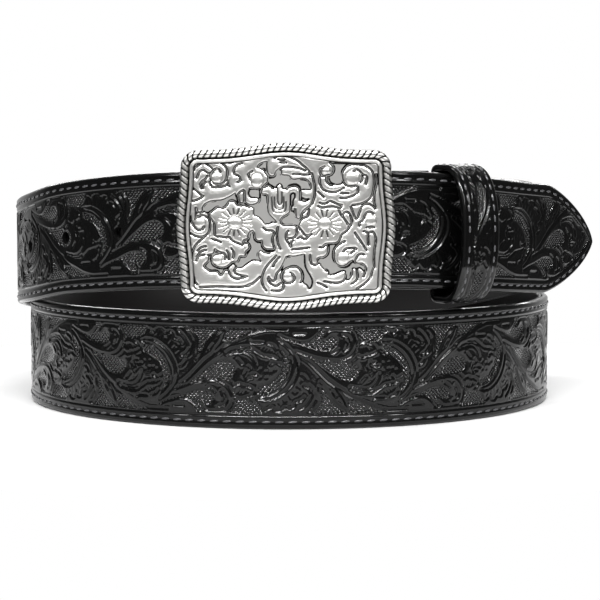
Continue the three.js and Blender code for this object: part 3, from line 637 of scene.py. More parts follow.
# %% Lining
def lining_piece():
    section = [(LINING_IN, 0.5, -1), (LINING_IN + 0.5, 0.0, -1), (LINING_OUT, 0.0, -1),
               (LINING_OUT, 0.0, 1), (LINING_IN + 0.5, 0.0, 1), (LINING_IN, 0.5, 1), (LINING_IN, 0.5, 0.0),
               (LINING_IN, 0.5, -1)]
    section = np.array(section)
    s_all = np.arange(float(length_at(18)), LENGTH[-1] - 1.0, 2.5)
    bm, column, row = grid_mesh(len(s_all), len(section))
    s, part = s_all[column], section[row]
    point, side, across, half = at_length(s)
    w = part[:, 2] * np.maximum(half - LINING_INSET - part[:, 1], 0.15)
    set_points(bm, point + side * part[:, :1] + across * w[:, None])
    close_section(bm, row)
    return finish_piece(bm, "strap_lining_dressed", lining_leather)


lining = lining_piece()
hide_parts("strap_lining")

# %% [markdown]
# ## Punched holes
# The holes are punched straight through both leathers. A boolean with plain cylinders cuts them; the
# manifold solver keeps that quick on the fine grids.

# %% Punch the holes
HOLE_RADIUS, CUTTER_LENGTH = 2.1, 8.0
HOLE_ANGLES = (-64.8, -49.3, -34.0, -16.8, -0.8)


def punch(piece, angles):
    bm = bmesh.new()
    for angle in angles:
        radius, height = float(path_radius(angle + UPPER_TURN)), float(path_middle(angle + UPPER_TURN))
        centre = Vector((around(angle, radius, height) + CENTRE) * MM)
        turn = Matrix.Rotation(math.radians(angle), 4, "Z") @ Matrix.Rotation(math.radians(90), 4, "X")
        bmesh.ops.create_cone(bm, cap_ends=True, segments=40, radius1=HOLE_RADIUS * MM,
                              radius2=HOLE_RADIUS * MM, depth=CUTTER_LENGTH * MM,
                              matrix=Matrix.Translation(centre) @ turn)
    cutter = finish_piece(bm, "hole_cutter", raw_edge_painted_shade)
    made_here.remove(cutter.name)
    cut = piece.modifiers.new("holes", "BOOLEAN")
    cut.object, cut.operation, cut.solver = cutter, "DIFFERENCE", "MANIFOLD"
    # The hole walls take the cutter's material, whose darker black is painted shade.
    cut.material_mode = "TRANSFER"
    ready = piece.evaluated_get(bpy.context.evaluated_depsgraph_get())
    mesh = bpy.data.meshes.new_from_object(ready)
    piece.modifiers.clear()
    piece.data = mesh
    mesh.set_sharp_from_angle(angle=math.radians(50))
    bpy.data.objects.remove(cutter)
    print(piece.name, "after the holes:", len(mesh.polygons), "faces")


with_holes = next(piece for piece in face_pieces if piece.name == "strap_face_front_left")
punch(with_holes, HOLE_ANGLES)
punch(lining, HOLE_ANGLES)

# %% [markdown]
# ## Stitches
# Two rows of waxed thread run the length of the strap, 2.5 mm in from each edge, and follow the tip.
# Each stitch is a small rounded bar pressed into its groove. They are joined in one mesh.

# %% Stitches
PITCH, THREAD = 4.25, 0.42


def stitches(name, places):
    """Joined stitches: each place is a centre, a direction along, and an outward direction, in mm."""
    bm = bmesh.new()
    for centre, along, out, size in places:
        aside = np.cross(out, along)
        turn = Matrix((along, aside, out)).transposed().to_4x4()
        shape = Matrix.Diagonal((size / 2, THREAD, THREAD * 0.8, 1.0))
        where = Matrix.Translation(Vector((centre + CENTRE) * MM))
        bmesh.ops.create_uvsphere(bm, u_segments=6, v_segments=4, radius=MM,
                                  matrix=where @ turn @ shape)
    return finish_piece(bm, name, thread_painted_sheen)


def strap_stitches():
    places = []
    for sign in (-1, 1):
        for s in np.arange(float(length_at(13.5)), LENGTH[-1] - 3.5, PITCH):
            point, side, across, half = at_length(np.array([s - 0.5, s + 0.5]))
            if half.min() < STITCH_LINE + 0.8:
                continue
            w = sign * (half - STITCH_LINE)
            spot = point + across * w[:, None]
            along = spot[1] - spot[0]
            along = along / np.linalg.norm(along) + across[0] * 0.07
            along /= np.linalg.norm(along)
            centre = spot.mean(axis=0) + side[0] * (FACE_OUT - 0.02)
            places.append((centre, along, side[0], 3.1))
    return places


stitches("strap_stitches", strap_stitches())

# %% [markdown]
# ## The keeper
# The keeper is a strip of the same leather bent into a loop and sewn. Its front stands off the strap
# in a bulge, and its back lies flat on the lining. A grid bent round that loop gives both sides.

# %% Keeper
KEEPER = {"angle": 36.3, "radius": 96.0, "height": 63.1, "wide": 13.8, "tall": 21.9,
          "front": 10.9, "back": 6.5, "front_power": 2.3, "back_power": 10.0, "thick": 2.2}
KEEPER_STITCH, KEEPER_CREASE = 2.0, 3.4


def keeper_loop(count):
    """Middle line of the loop and its outward normals, as (outward, up) pairs in mm."""
    turn = np.linspace(0, 2 * np.pi, 2001)
    c, s = np.cos(turn), np.sin(turn)
    front = c >= 0
    power = np.where(front, KEEPER["front_power"], KEEPER["back_power"])
    reach = np.where(front, KEEPER["front"], KEEPER["back"])
    n = np.sign(c) * reach * np.abs(c) ** (2 / power)
    w = np.sign(s) * KEEPER["tall"] * np.abs(s) ** (2 / power)
    length = np.concatenate([[0], np.cumsum(np.hypot(np.diff(n), np.diff(w)))])
    even = np.linspace(0, length[-1], count)
    n, w = np.interp(even, length, n), np.interp(even, length, w)
    tn, tw = np.gradient(n), np.gradient(w)
    tn[0] = tn[-1] = 0
    size = np.hypot(tn, tw)
    return n, w, tw / size, -tn / size, even


def on_keeper(t, n, w):
    """Points at t mm along the strap, n outward and w up, bent with the coil."""
    angle = KEEPER["angle"] + np.degrees(t / KEEPER["radius"])
    return around(angle, KEEPER["radius"] + n, KEEPER["height"] + w)


def keeper_piece():
    half, thick = KEEPER["wide"] / 2, KEEPER["thick"] / 2
    face = [(t, thick) for t in np.linspace(-half + 0.6, half - 0.6, 44)]
    round_right = [(half - 0.2, thick - 0.2), (half, thick - 0.6), (half, -thick + 0.6),
                   (half - 0.2, -thick + 0.2)]
    back = [(half - 0.6, -thick), (-half + 0.6, -thick)]
    section = [*face, *round_right, *back, *[(-t, d) for t, d in reversed(round_right)], face[0]]
    section = np.array(section)
    n, w, nn, nw, length = keeper_loop(int(330 / DETAIL))
    bm, column, row = grid_mesh(len(n), len(section))
    part = section[row]
    t, d = part[:, 0], part[:, 1]
    edge = half - np.abs(t)
    on_face = (d == thick)
    lines = groove(edge, 0.2, 0.4, line=KEEPER_STITCH) + groove(edge, 0.2, 0.25, line=KEEPER_CREASE)
    carved, ground = tooling_at(length[column] + 6.0, t * 1.9)
    field = step_up(edge, 3.6, 3.9)
    d = d + np.where(on_face, lines + carved * field, 0)
    set_points(bm, on_keeper(t, n[column] + nn[column] * d, w[column] + nw[column] * d))
    keep_values(bm, "strap_mm", np.stack([length[column], t, np.zeros_like(t)], axis=1))
    keep_values(bm, "matted", np.where(on_face, ground * field, 0))
    bmesh.ops.remove_doubles(bm, verts=bm.verts, dist=0.001 * MM)
    return finish_piece(bm, "keeper_dressed", black_leather)


def keeper_stitches():
    n, w, nn, nw, length = keeper_loop(400)
    places = []
    for sign in (-1, 1):
        t = sign * (KEEPER["wide"] / 2 - KEEPER_STITCH)
        for k in np.interp(np.arange(2, length[-1] - 2, 3.4), length, np.arange(400)):
            i = int(k)
            lift = KEEPER["thick"] / 2 - 0.1
            ends = on_keeper(t, n[[i, i + 1]] + nn[[i, i + 1]] * lift, w[[i, i + 1]] + nw[[i, i + 1]] * lift)
            along = (ends[1] - ends[0]) / np.linalg.norm(ends[1] - ends[0])
            up = on_keeper(t, n[i] + nn[i] * 5, w[i] + nw[i] * 5) - on_keeper(t, n[i], w[i])
            places.append((ends[0], along, up / np.linalg.norm(up), 2.5))
    return places


keeper = keeper_piece()
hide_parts("keeper")
stitches("keeper_stitches", keeper_stitches())

# %% [markdown]
# ## The plate of the buckle
# The plate is a casting, bent a little to the waist. Its front is a fine grid whose outline follows
# the plate's, with rounded corners, and the relief comes from a height map as on the strap. The rope
# round it is a tube of its own, and the back, the bar loop and the peg are plain.

# %% Plate: outline and bend
PLATE = {"x": -0.5, "z": 66.3, "back": -100.9, "bend": 170.0, "scale": 1.018, "wide": 32.9,
         "side_bulge": 1.4, "side_reach": 10.0, "tall": 24.0, "top_bulge": 2.3, "top_reach": 13.0,
         "corner": 5.5, "rim": 1.9, "leaf": 2.45, "bead": 2.95}
BEAD_LINE, BEAD_RADIUS, BEAD_FOOT, LEAF_DROP = 3.5, 0.55, 2.35, 0.15
ROPE = {"inset": 1.25, "height": 1.9, "radius": 1.28, "strands": 107}


def on_plate(x, y, height):
    """Points on the plate at x and y of its own millimetres and a height above its back."""
    turn = x * PLATE["scale"] / PLATE["bend"]
    radius = PLATE["bend"] + height
    return np.stack(np.broadcast_arrays(
        PLATE["x"] + radius * np.sin(turn),
        PLATE["back"] + PLATE["bend"] - radius * np.cos(turn),
        PLATE["z"] + y * PLATE["scale"]), axis=-1)


def plate_spread(u, v, inset):
    """Moves a square grid, -1 to 1 both ways, to the plate's outline at an inset."""
    cx, cy = PLATE["wide"] - PLATE["corner"], PLATE["tall"] - PLATE["corner"]
    r = PLATE["corner"] - inset
    x, y = u * (cx + r), v * (cy + r)
    px, py = np.clip(np.abs(x) - cx, 0, None) / r, np.clip(np.abs(y) - cy, 0, None) / r
    qx, qy = px * np.sqrt(1 - py**2 / 2), py * np.sqrt(1 - px**2 / 2)
    ax = np.where(np.abs(x) > cx, cx + r * qx, np.abs(x))
    ay = np.where(np.abs(y) > cy, cy + r * qy, np.abs(y))
    x, y = np.sign(x) * ax, np.sign(y) * ay
    x = x + u * PLATE["side_bulge"] * np.exp(-((y / PLATE["side_reach"]) ** 2))
    y = y + v * PLATE["top_bulge"] * np.exp(-((x / PLATE["top_reach"]) ** 2))
    return x, y


def edge_distance(x, y):
    """Distance in from the plate's outline, near enough for the border."""
    a = PLATE["wide"] + PLATE["side_bulge"] * np.exp(-((y / PLATE["side_reach"]) ** 2))
    b = PLATE["tall"] + PLATE["top_bulge"] * np.exp(-((x / PLATE["top_reach"]) ** 2))
    r = PLATE["corner"]
    dx, dy = np.abs(x) - (a - r), np.abs(y) - (b - r)
    corner = np.hypot(np.clip(dx, 0, None), np.clip(dy, 0, None))
    return r - (corner + np.minimum(np.maximum(dx, dy), 0))


# %% [markdown]
# ## Relief of the plate
# On the real plate the scrolls are cast in one with the ground and then cut sharp. The same kind of
# height map does it here: furrows between the scrolls, sunk grounds, a few round bosses, and two
# flowers with rays. Places are in millimetres from the plate's middle.

# %% Furrows, grounds and bosses of the plate
FURROWS = [
    # Upper left corner and its scroll.
    pairs(-30.4, 8, -29.7, 12.2, -29.6, 15.1, -29.45, 17.5, -28.9, 19.1, -27.7, 20.1, -25.8, 20.9,
          -21.7, 20.6, -18.1, 20, -15.8, 20.45, -13.4, 21, -11, 21.8),
    pairs(-22.4, 20.7, -20.8, 20.2, -19.3, 19.4, -18.4, 18.2, -18.1, 16.8, -18.5, 15.1, -19.3, 13.9,
          -20.8, 13.2, -22, 13.5, -23, 14.5, -23.5, 15.6, -23.4, 16.5, -22.7, 17.5, -21.7, 18.2,
          -20.8, 18, -20.3, 17.2),
    pairs(-27.8, 15.3, -27.2, 16.8, -26.5, 17.6, -25.5, 17.8, -24.6, 17, -23.6, 16.8),
    pairs(-26.4, 12, -26.6, 13.4, -26, 14.4, -25, 15, -24.5, 16),
    pairs(-25.9, 12, -25.8, 13.2, -25, 14),
    pairs(-28.9, 17.5, -28.1, 18.7, -26.7, 19.6),
    pairs(-24.8, 19.6, -23.6, 18.9, -22.9, 18.2),
    pairs(-23.7, 14.1, -23.5, 13.2, -22.8, 12.4, -21.2, 12.4, -19.6, 12.6, -18.4, 13),
    pairs(-18, 14.6, -18, 13.4, -17.5, 12.7),
    pairs(-29.2, 12.2, -27.9, 11.3, -26.5, 10, -25.8, 9.6, -27, 8.8, -28.4, 8.2, -29.6, 8.1),
    pairs(-15.8, 10.3, -17, 9.5, -18.4, 8.8, -19.8, 8.2, -21.2, 8.1, -22.7, 8, -24.1, 7.6, -25.3, 6.9,
          -25.8, 6, -25.9, 4.9, -26.5, 4.4, -27.7, 4.6, -28, 5.8),
    pairs(-28.1, 6, -28.1, 2.5),
    pairs(-28.4, 2.2, -27.7, 3.1, -26.5, 3.5, -25.3, 3.4, -24.3, 2.7, -23.7, 1.3, -23.7, -0.5,
          -24.3, -2.1, -25.8, -3.1, -27.7, -3.1, -29.3, -2.4, -30.9, -1.2),
    pairs(-29.9, 3.4, -29.7, 2, -29.1, 0.6, -28.6, -0.2, -27.7, -0.95, -26.2, -0.9, -25.6, 0),
    # Left flower's outline.
    pairs(-24.1, 4.1, -23.4, 4.6, -22.2, 5.6, -21.2, 6.3, -20.3, 6.2, -19.6, 5.8, -18.4, 6.8,
          -17.9, 7.7, -17, 8.2, -16, 8, -15, 6.8, -13.9, 6.6, -13.1, 7.1, -12, 6.4, -11, 6.3,
          -10.9, 6.6, -9.7, 5.8, -9.7, 3.9, -8.6, 3.5, -7.3, 2.3, -6.4, 1),
    pairs(-24.1, 4.1, -23.9, 3.2, -23, 2, -22.3, 0.8, -22.2, -1.4, -22, -2.9, -20.5, -3, -18.9, -3.3,
          -17.4, -3.3, -17, -4, -15.8, -4.8, -14.6, -5.2, -13.6, -5.7),
    pairs(-13.1, 11.5, -14.1, 11, -14.8, 10.1, -14.8, 8.9, -14.3, 7.5, -13.1, 7.4, -12.8, 8.9,
          -12.9, 11.3),
    # Top middle.
    pairs(-13.6, 19.9, -15, 19.4, -15.8, 18.7, -16.2, 17.5, -15.9, 16.5, -14.6, 16, -14.2, 15.1,
          -13.9, 14.5, -15, 14),
    pairs(-8.7, 18.7, -7.3, 18.2, -6.1, 16.8, -5.4, 15.6, -5.5, 14.1, -6.6, 13, -7.5, 11.8),
    pairs(-10.4, 17.5, -11.6, 16.5, -11.3, 15.3, -10.9, 14.6, -9.7, 14.1),
    pairs(-8.7, 18.7, -8, 19.6, -6.8, 20.1, -6, 20.3),
    pairs(-6.1, 20.1, -6.2, 18.9, -5.9, 17, -4.9, 15.8, -3.95, 15.7, -3.2, 16.3, -3, 17.2, -2, 18.1,
          -0.6, 18.7, 1.3, 18.8, 3.2, 18.5, 4.6, 18.2, 6, 17.5),
    pairs(-3.5, 21.5, -2.3, 22.1, 0.3, 22, 2.2, 21.4, 3.7, 20.6, 4.9, 19.6, 6.5, 18.2, 7.5, 16.8, 8, 16),
    pairs(-2.3, 21, -0.4, 21),
    pairs(-1.6, 20.1, 0.1, 20.1),
    pairs(-1.6, 17.5, -1.6, 16.5, -0.9, 16, 0.3, 16, 1, 15.8, 1.5, 15, 2.7, 14.6, 4.1, 14.9, 5.6, 15,
          6.8, 14.4, 7.5, 13.4, 7.5, 11.8),
    pairs(2.2, 16.5, 3.7, 16.6, 5.1, 16.3, 7, 16.3),
    pairs(8, 16.8, 8.4, 15.1, 8.9, 13.2, 9, 11.5, 8.9, 9.9, 8.4, 8, 7.7, 6.8, 6.5, 5.8, 5.6, 4.6),
    # The tulip in the middle.
    pairs(-7.5, 11.8, -7.9, 10.8, -7.3, 10.1, -5.9, 10, -5.7, 8.4, -5.9, 6, -5.6, 4.4, -4.9, 3.4,
          -3.7, 2.2, -3.2, 1.5),
    pairs(-6.6, 12.5, -5.6, 13, -4.7, 12.7, -4, 12),
    pairs(0.3, 11.8, 0.7, 12.5, 1.8, 12.7, 3.2, 12.8, 4.1, 12.1, 4.5, 10.8, 4.5, 8.4),
    pairs(1.5, 6.5, 1.5, 4.9, 0.6, 3.9, -0.9, 3, -1.6, 2, -1.3, 1, -0.4, 0.6, 2.2, 0.6, 3.4, 0.1),
    pairs(2.8, 5.6, 3, 3.2, 3.7, 2.4, 4.6, 2.7, 5, 4.1, 5.6, 5.1, 7, 6),
    pairs(-11.1, 12, -8.2, 11.9),
    pairs(-13, 8, -11.8, 7, -10.6, 6.8, -9.2, 7.1, -8.2, 8, -8.1, 8.9),
    # Upper right corner and its scrolls.
    pairs(11.9, 18.8, 10.7, 18.2, 10.6, 17, 11.2, 16, 12.6, 15.9, 14.3, 16.5, 14.9, 18, 14.6, 19.1,
          13.6, 20.1),
    pairs(12.6, 15.8, 12.6, 14.4, 13.3, 13.4, 14.5, 13),
    pairs(11.1, 16.3, 10.5, 15.1, 10.5, 13.7, 11.2, 12.2, 12.4, 11.3, 14, 10.9, 15.7, 11, 16.9, 11.5,
          18, 12.2),
    pairs(10, 11, 11, 10.1, 11.7, 9.4),
    pairs(21.4, 19.6, 19.5, 19.3, 18.3, 18.4, 17.5, 17, 17.4, 15.3, 17.9, 13.9, 18.8, 12.95, 20.2, 12.6,
          21.9, 12.8, 22.3, 12.7, 22.4, 11, 21.4, 10.1, 20, 9.4, 18.3, 9, 16.9, 9.1),
    pairs(21.4, 19.6, 23.3, 19.4, 25.2, 18.9, 26.7, 17.7, 27.3, 16.3, 27.5, 14.1, 27.4, 12.2, 27, 10.3,
          26.2, 8.9, 24.5, 7.7, 22.9, 7.1, 20.7, 6.8),
    pairs(20.7, 16.8, 21.7, 18, 22.9, 17.5, 24, 16.3, 25, 16, 25.2, 14.6, 24.9, 13.4),
    pairs(23.7, 15.8, 23.8, 14.9, 23.3, 14),
    pairs(17.1, 10.5, 19.5, 10.5),
    pairs(10.5, 7.6, 11.4, 7.2, 12.6, 7.4, 13.6, 8.1, 15, 7.6, 16.2, 7, 17.4, 6.8),
    pairs(10, 6.5, 11.4, 6, 13.1, 6.3, 15.2, 6.3, 16.7, 5.8, 17.4, 6.8),
    pairs(17.6, 3.5, 18.3, 4.5, 19, 4.7, 19.8, 4.1, 20.4, 2.5, 20.5, 1.3, 19.8, 0.1, 19, 1.3, 18.2, 2.5),
    pairs(20.2, 6.3, 21.9, 2.5, 23.3, 5.6),
    pairs(22.9, 0.3, 23, 1.4, 24, 2.1, 24.5, 3.4, 25.2, 4.5, 26.2, 4.7, 27.4, 4.1),
    pairs(23.6, 6.3, 24.5, 7.1, 25.7, 7.2, 27.1, 6.5, 27.9, 5.6),
    pairs(25.2, -0.2, 27.6, -0.2),
    pairs(28.1, 16.5, 28.5, 14.6, 28.1, 12.7, 27.6, 10.3, 27.5, 8, 27.9, 6.3),
    # Right flower's outline.
    pairs(3.7, 0.1, 4.1, 1.3, 5.3, 2.7, 6.8, 3.4, 7, 5.6),
    pairs(16.5, 5, 17.3, 3.6, 18.2, 2.5, 19, 1.3, 19.8, 0.1, 18.6, -1.5, 17.4, -2.3, 16.9, -3.6,
          15.7, -5.1, 12.4, -5.4, 11.4, -6.4, 10.5, -6.4),
    pairs(8, -2.3, 7.2, -2.6, 6, -2.6, 4.9, -1.2, 3.9, 0),
    # Lower left corner.
    pairs(-25.5, -3.3, -27, -4.5, -28.4, -6, -29.2, -7.9, -29.5, -10, -29.6, -12.4, -29.2, -14.3,
          -28.9, -15.7, -28.6, -17.1, -27.7, -18.3),
    pairs(-22.1, -7.1, -20.8, -8, -19.3, -8.3, -18.7, -9.5, -19.1, -10.2),
    pairs(-22.9, -9, -21.7, -8.3, -20.5, -8.3),
    pairs(-22.9, -9, -23.1, -10.5, -22.7, -11.9, -21.2, -12.7, -19.3, -12.9, -17.7, -12.1,
          -16.5, -11.1, -15, -11, -14.6, -10.2, -14.2, -9.3, -12.8, -9.4, -12.2, -8.6, -12.5, -7.9,
          -11.2, -6.7, -11.5, -5.5, -12.2, -5, -13.1, -5.2, -13.1, -4.3, -11.5, -3.6, -11.2, -2.1,
          -10.3, -1.4),
    pairs(-24.3, -8.9, -22.9, -8.7, -22.2, -8.1, -22.1, -7.1),
    pairs(-23.9, -9.3, -24.1, -10.7, -25.3, -11.9, -25.5, -12.6, -24.6, -13.3, -23.6, -14, -21.7, -14,
          -20.9, -14.5, -20.5, -15.2, -19.8, -14.8, -19.3, -13.8, -18.4, -13.5, -17.7, -14,
          -17.4, -15.2, -16.2, -16.1, -14.6, -16.3, -12.2, -15.6),
    pairs(-11, -10.5, -12.4, -11.2, -13.6, -12.4, -15.3, -12.7, -16.1, -13.6, -15.8, -14.5,
          -14.3, -15.2, -12.2, -15.5),
    pairs(-27.7, -7.6, -26.5, -6.5, -25, -6.1),
    pairs(-27.9, -9.5, -26.7, -7.9, -25, -7.3),
    pairs(-28.1, -10.7, -27.2, -9.3, -25.5, -8.8),
    pairs(-23.1, -3.8, -21.7, -4.2, -20.3, -4.8),
    pairs(-17, -6.7, -16.2, -8.1, -16.4, -9.8),
    pairs(-18.4, -7.4, -17.7, -8.6, -17.8, -10.2),
    pairs(-30.9, -1.4, -30.5, -4.3, -29.8, -8.8),
    pairs(-27, -19.05, -21.7, -18.8, -17, -18.9, -13.1, -18.8, -11, -17.9),
    # Bottom middle.
    pairs(-2.5, 0, -2.8, -2.4, -2.5, -4.8, -1.7, -6.9),
    pairs(0.7, -1.2, 0.1, -2.1, 0.1, -3.6, 0.6, -4.8, 1.5, -6.3),
    pairs(-7, -0.2, -5.9, -1.1, -4.4, -1.1, -3.6, -1.9, -4.2, -3.6, -4, -5.2, -3.5, -6.9, -4.9, -7.1,
          -6.3, -7, -7.3, -6, -7.6, -4.3),
    pairs(-11.6, -3.1, -11.3, -1.9, -10.4, -1.3, -9.9, -2.1, -9.7, -3.6, -8.7, -4.5, -7.8, -4.5),
    pairs(-8, -10.7, -8.7, -9.3, -8.6, -7.9, -7.9, -7.1, -6.8, -7.9, -5.1, -8.2),
    pairs(-3, -9, -4.4, -10.5, -5.6, -11.9, -6.6, -13.3, -7.3, -15.2, -7.5, -16.7, -7, -18.6, -6.1, -20),
    pairs(-8.1, -15.7, -9.9, -17.4, -11.8, -18.6),
    pairs(-2, -9.4, -3.5, -11.2, -4, -12.4),
    pairs(0.1, -9.5, -0.6, -11.2, -1.6, -13.1, -2.8, -14.5, -3.2, -15.7, -3.4, -16.7, -4.2, -16.9,
          -5, -16.4, -5.4, -15.7),
    pairs(-5.6, -16.2, -5.1, -17.4, -4, -18.3, -2.8, -18.5, -1.8, -17.7, -1.1, -17.7, -0.7, -18.6,
          -1.3, -19.8, -2.8, -20.1, -4.4, -20),
    pairs(4.6, -17.4, 5.2, -16.2, 5.1, -14.8, 4.4, -13.3, 3.2, -12.5, 1.3, -12.6, -0.1, -13.2,
          -1.1, -14.3, -1.5, -15.7, -1, -16.9, 0.1, -17.6, 1.5, -17.5, 2.5, -16.7, 2.7, -15.7,
          2, -14.8, 1.3, -14.5),
    pairs(3.4, 0, 3.4, -1.9, 2.5, -3.3, 0.3, -3.7),
    pairs(3.7, -3.7, 4.6, -3, 5.1, -3.6, 6.5, -3.7, 7.2, -2.6, 8, -2.3),
    pairs(2.2, -4.3, 1.5, -5, 1.5, -6),
    pairs(2, -7.1, 7.2, -6.5),
    pairs(0.8, -9.2, 2.5, -9.4, 5.6, -8.8),
    pairs(7.5, -8.8, 7.6, -10.5, 8.2, -11.7, 9.4, -11.9, 10.1, -11, 9.9, -9.9, 11.8, -9.5, 12.8, -8.8),
    pairs(11, -11.9, 11.8, -12.9, 12.7, -13.8),
    pairs(9.9, -17.6, 11.3, -18.1, 12.7, -19),
    # Lower right corner.
    pairs(11.4, -6.4, 12.4, -5.6, 13.1, -6.2, 13.1, -8.1, 11.9, -9.5, 10, -9.8),
    pairs(18.3, -4.5, 16.9, -5.2, 15.5, -6.4, 14.8, -7.9, 14.9, -10, 15.7, -11.7, 17.4, -12.5,
          19, -12.1, 20, -11.2, 20.7, -10.7),
    pairs(17.9, -7.6, 18.6, -6.9, 20.2, -6.7, 21.9, -6.9, 20.2, -8.3),
    pairs(21.4, -11, 21.9, -9.8, 22.6, -8.8, 23.6, -8.5, 24.5, -8.8),
    pairs(21.4, -11.2, 22.4, -11.7, 23.8, -11.7, 24.8, -12.6, 24.9, -13.8, 24.2, -15.7),
    pairs(20.4, -13.3, 20.4, -15.2, 19.5, -16.4),
    pairs(22.1, -13.6, 22.4, -15.5, 21.9, -16.9, 20.5, -17.9),
    pairs(18.9, -14.3, 18.3, -16.4, 17.1, -17.4, 14.8, -17.6, 11.9, -17.1),
    pairs(22.1, -19.5, 24.3, -18.1, 26.2, -16.2, 26.9, -14.3, 27.4, -12.9),
    pairs(21.7, -2.1, 25.2, -7.4),
    pairs(21.5, -1.8, 22.4, -3.3, 23.3, -4.5),
    pairs(24.3, -1.4, 25.5, -1.9, 25.6, -3.6, 25.7, -5.7),
    pairs(26, -1.9, 26.9, -1.5, 27.7, -2.4, 28.1, -4.3, 27.7, -7.1, 27.5, -10, 27.6, -12.9),
]
# Petals of the tulip, scratched rather than cut.
PETAL_LINES = [
    pairs(-4.4, 9.4, -4.3, 7.2, -4.1, 5.3, -3.5, 4.5, -2, 4.4, -0.6, 4.6, 0, 5.8, 0.1, 8),
    pairs(-3.5, 9.4, -3.5, 6.8, -2.8, 5.5, -1.3, 5.5, -0.7, 6.5, -0.7, 9.4),
    pairs(-2.8, 12.2, -2.5, 10.3, -2.5, 8, -2, 6.8, -1.3, 7.5, -1.2, 10.8),
]
SUNK_GROUNDS = [
    pairs(-1.6, 16.3, 1, 15.8, 1.5, 14.9, 4.1, 14.9, 6.8, 14.3, 7.5, 12.5, 7.4, 11.6, 5.5, 11.7,
          4.6, 11.5, 4.4, 12.4, 3.6, 13.2, 2.6, 13.4, 1, 13, 0.3, 12.1, -1, 12, -1.3, 13, -1.9, 13.5,
          -2.6, 13, -3.2, 12.2, -4.3, 12.9, -5.4, 13.6, -5.2, 15.2, -4, 15.4, -3.2, 16, -2.9, 17.4,
          -1.7, 18),
    pairs(1.5, 5, 2.3, 4.9, 2.8, 4.2, 3, 3, 3.7, 2.4, 4.6, 2.7, 4.2, 1.3, 3.6, 0.3, 2.2, 0.7,
          -0.4, 0.7, -1.2, 1.2, -1.5, 2, -0.8, 2.9, 0.7, 3.8),
    pairs(1.4, 9.9, 2, 10.6, 2.7, 10.5, 2.8, 9.4, 2.2, 8, 2.2, 6.5, 1.5, 6.5, 1.4, 8),
    pairs(4.7, 9.4, 5.1, 8, 6.5, 8, 7.2, 8.8, 6, 8.7),
    pairs(-11.2, 11.8, -11.6, 10.6, -11.3, 9.6, -10.6, 9.1, -9.4, 9.1, -8.2, 8.9, -8.1, 11.5),
    pairs(-5.9, 9.8, -5.8, 6, -5.6, 4.4, -4.6, 3.2, -3.5, 2, -3.4, 1.4, -4.6, 1.4, -5, 0.9, -6.4, 1,
          -7.3, 2.3, -8.6, 3.5, -9.7, 3.9, -9.7, 5.8, -10.9, 6.6, -9.2, 7.1, -8.1, 8, -8, 9.5,
          -8.1, 11.3, -7.7, 10.5, -7.2, 10),
    pairs(13.6, 19.9, 14.8, 19.9, 19.8, 19.8, 18.5, 19.2, 17.4, 17.6, 17.3, 15.8, 17.6, 14,
          17.2, 13.4, 15.5, 13.2, 13.9, 13.9, 13.4, 15, 13.3, 15.7, 14.5, 16.4, 15.1, 17.7, 14.9, 19),
    pairs(-8.7, 18.7, -6.8, 20.1, -6.1, 19.9, -6.3, 18.2),
    pairs(-23.8, -9.6, -23.3, -11, -22.8, -12.2, -21.2, -13, -19.2, -13.2, -17.4, -12.4, -16.4, -11.3,
          -18.3, -13.3, -19.3, -13.6, -19.9, -14.6, -20.5, -15, -20.9, -14.2, -21.7, -13.7,
          -23.6, -13.7, -24.8, -13, -25.3, -12.3, -24.2, -11),
    pairs(-10, -2.3, -9.8, -4, -8.7, -4.9, -7.8, -4.9, -7.4, -6.4, -6.4, -7.3, -4.5, -7.5,
          -3.5, -7.5, -4.5, -7.9, -6.7, -7.9, -7.6, -7.2, -8.5, -7.6, -8.9, -9, -8.1, -10.5,
          -10.5, -10.5, -12, -11.5, -13.4, -12.4, -15, -12.7, -16.4, -11.3, -14.8, -11, -14.2, -9.6,
          -12.7, -9.5, -12.1, -8.6, -11, -6.7, -11.3, -5.4, -12, -4.7, -11.4, -3.8, -11.1, -2.2,
          -10.5, -1.5),
    pairs(0.3, -9.4, 2.2, -9.4, 4.1, -9.05, 5.6, -8.8, 5.8, -10, 6, -12.1, 6.8, -14, 7.7, -15.5,
          8.2, -16.9, 8, -18.6, 7.2, -19.5, 6.5, -18.3, 5.3, -17.4, 5.5, -15.5, 4.9, -13.6,
          3.2, -12.3, 1.3, -12.4, -0.6, -13.3, -1.3, -14.3, -0.8, -11.5, 0.2, -9.6),
    pairs(13.4, -5.6, 15.6, -5.5, 14.8, -7.1, 14.5, -9, 14.9, -10.7, 16, -12, 17.5, -12.8,
          19.2, -12.6, 20.2, -11.7, 20.8, -11, 21.6, -11.5, 23.3, -11.8, 24.5, -12.3, 24.9, -13.5,
          24.3, -14, 23.3, -13, 22.6, -13, 22, -13.3, 21.2, -13, 20.5, -13.4, 20.2, -15, 19.8, -16.4,
          18.8, -16.7, 18.8, -14.6, 18, -13.8, 16.3, -14.3, 15, -14.9, 13.4, -15, 13.2, -13.8,
          11.9, -13, 11, -11.9, 10.2, -11.4, 10.2, -10, 12, -9.7, 13.3, -8.3),
    pairs(-15.8, 10.3, -18.4, 8.8, -21.2, 8.1, -24.1, 7.6, -25.6, 6.3, -25.8, 4.9, -24.3, 4.4, -22.4, 5.7,
          -21.2, 6.4, -19.6, 6, -18.5, 7, -17.9, 7.9, -17, 8.4, -15.9, 8.2, -15.0, 7.2, -15.2, 9),
]
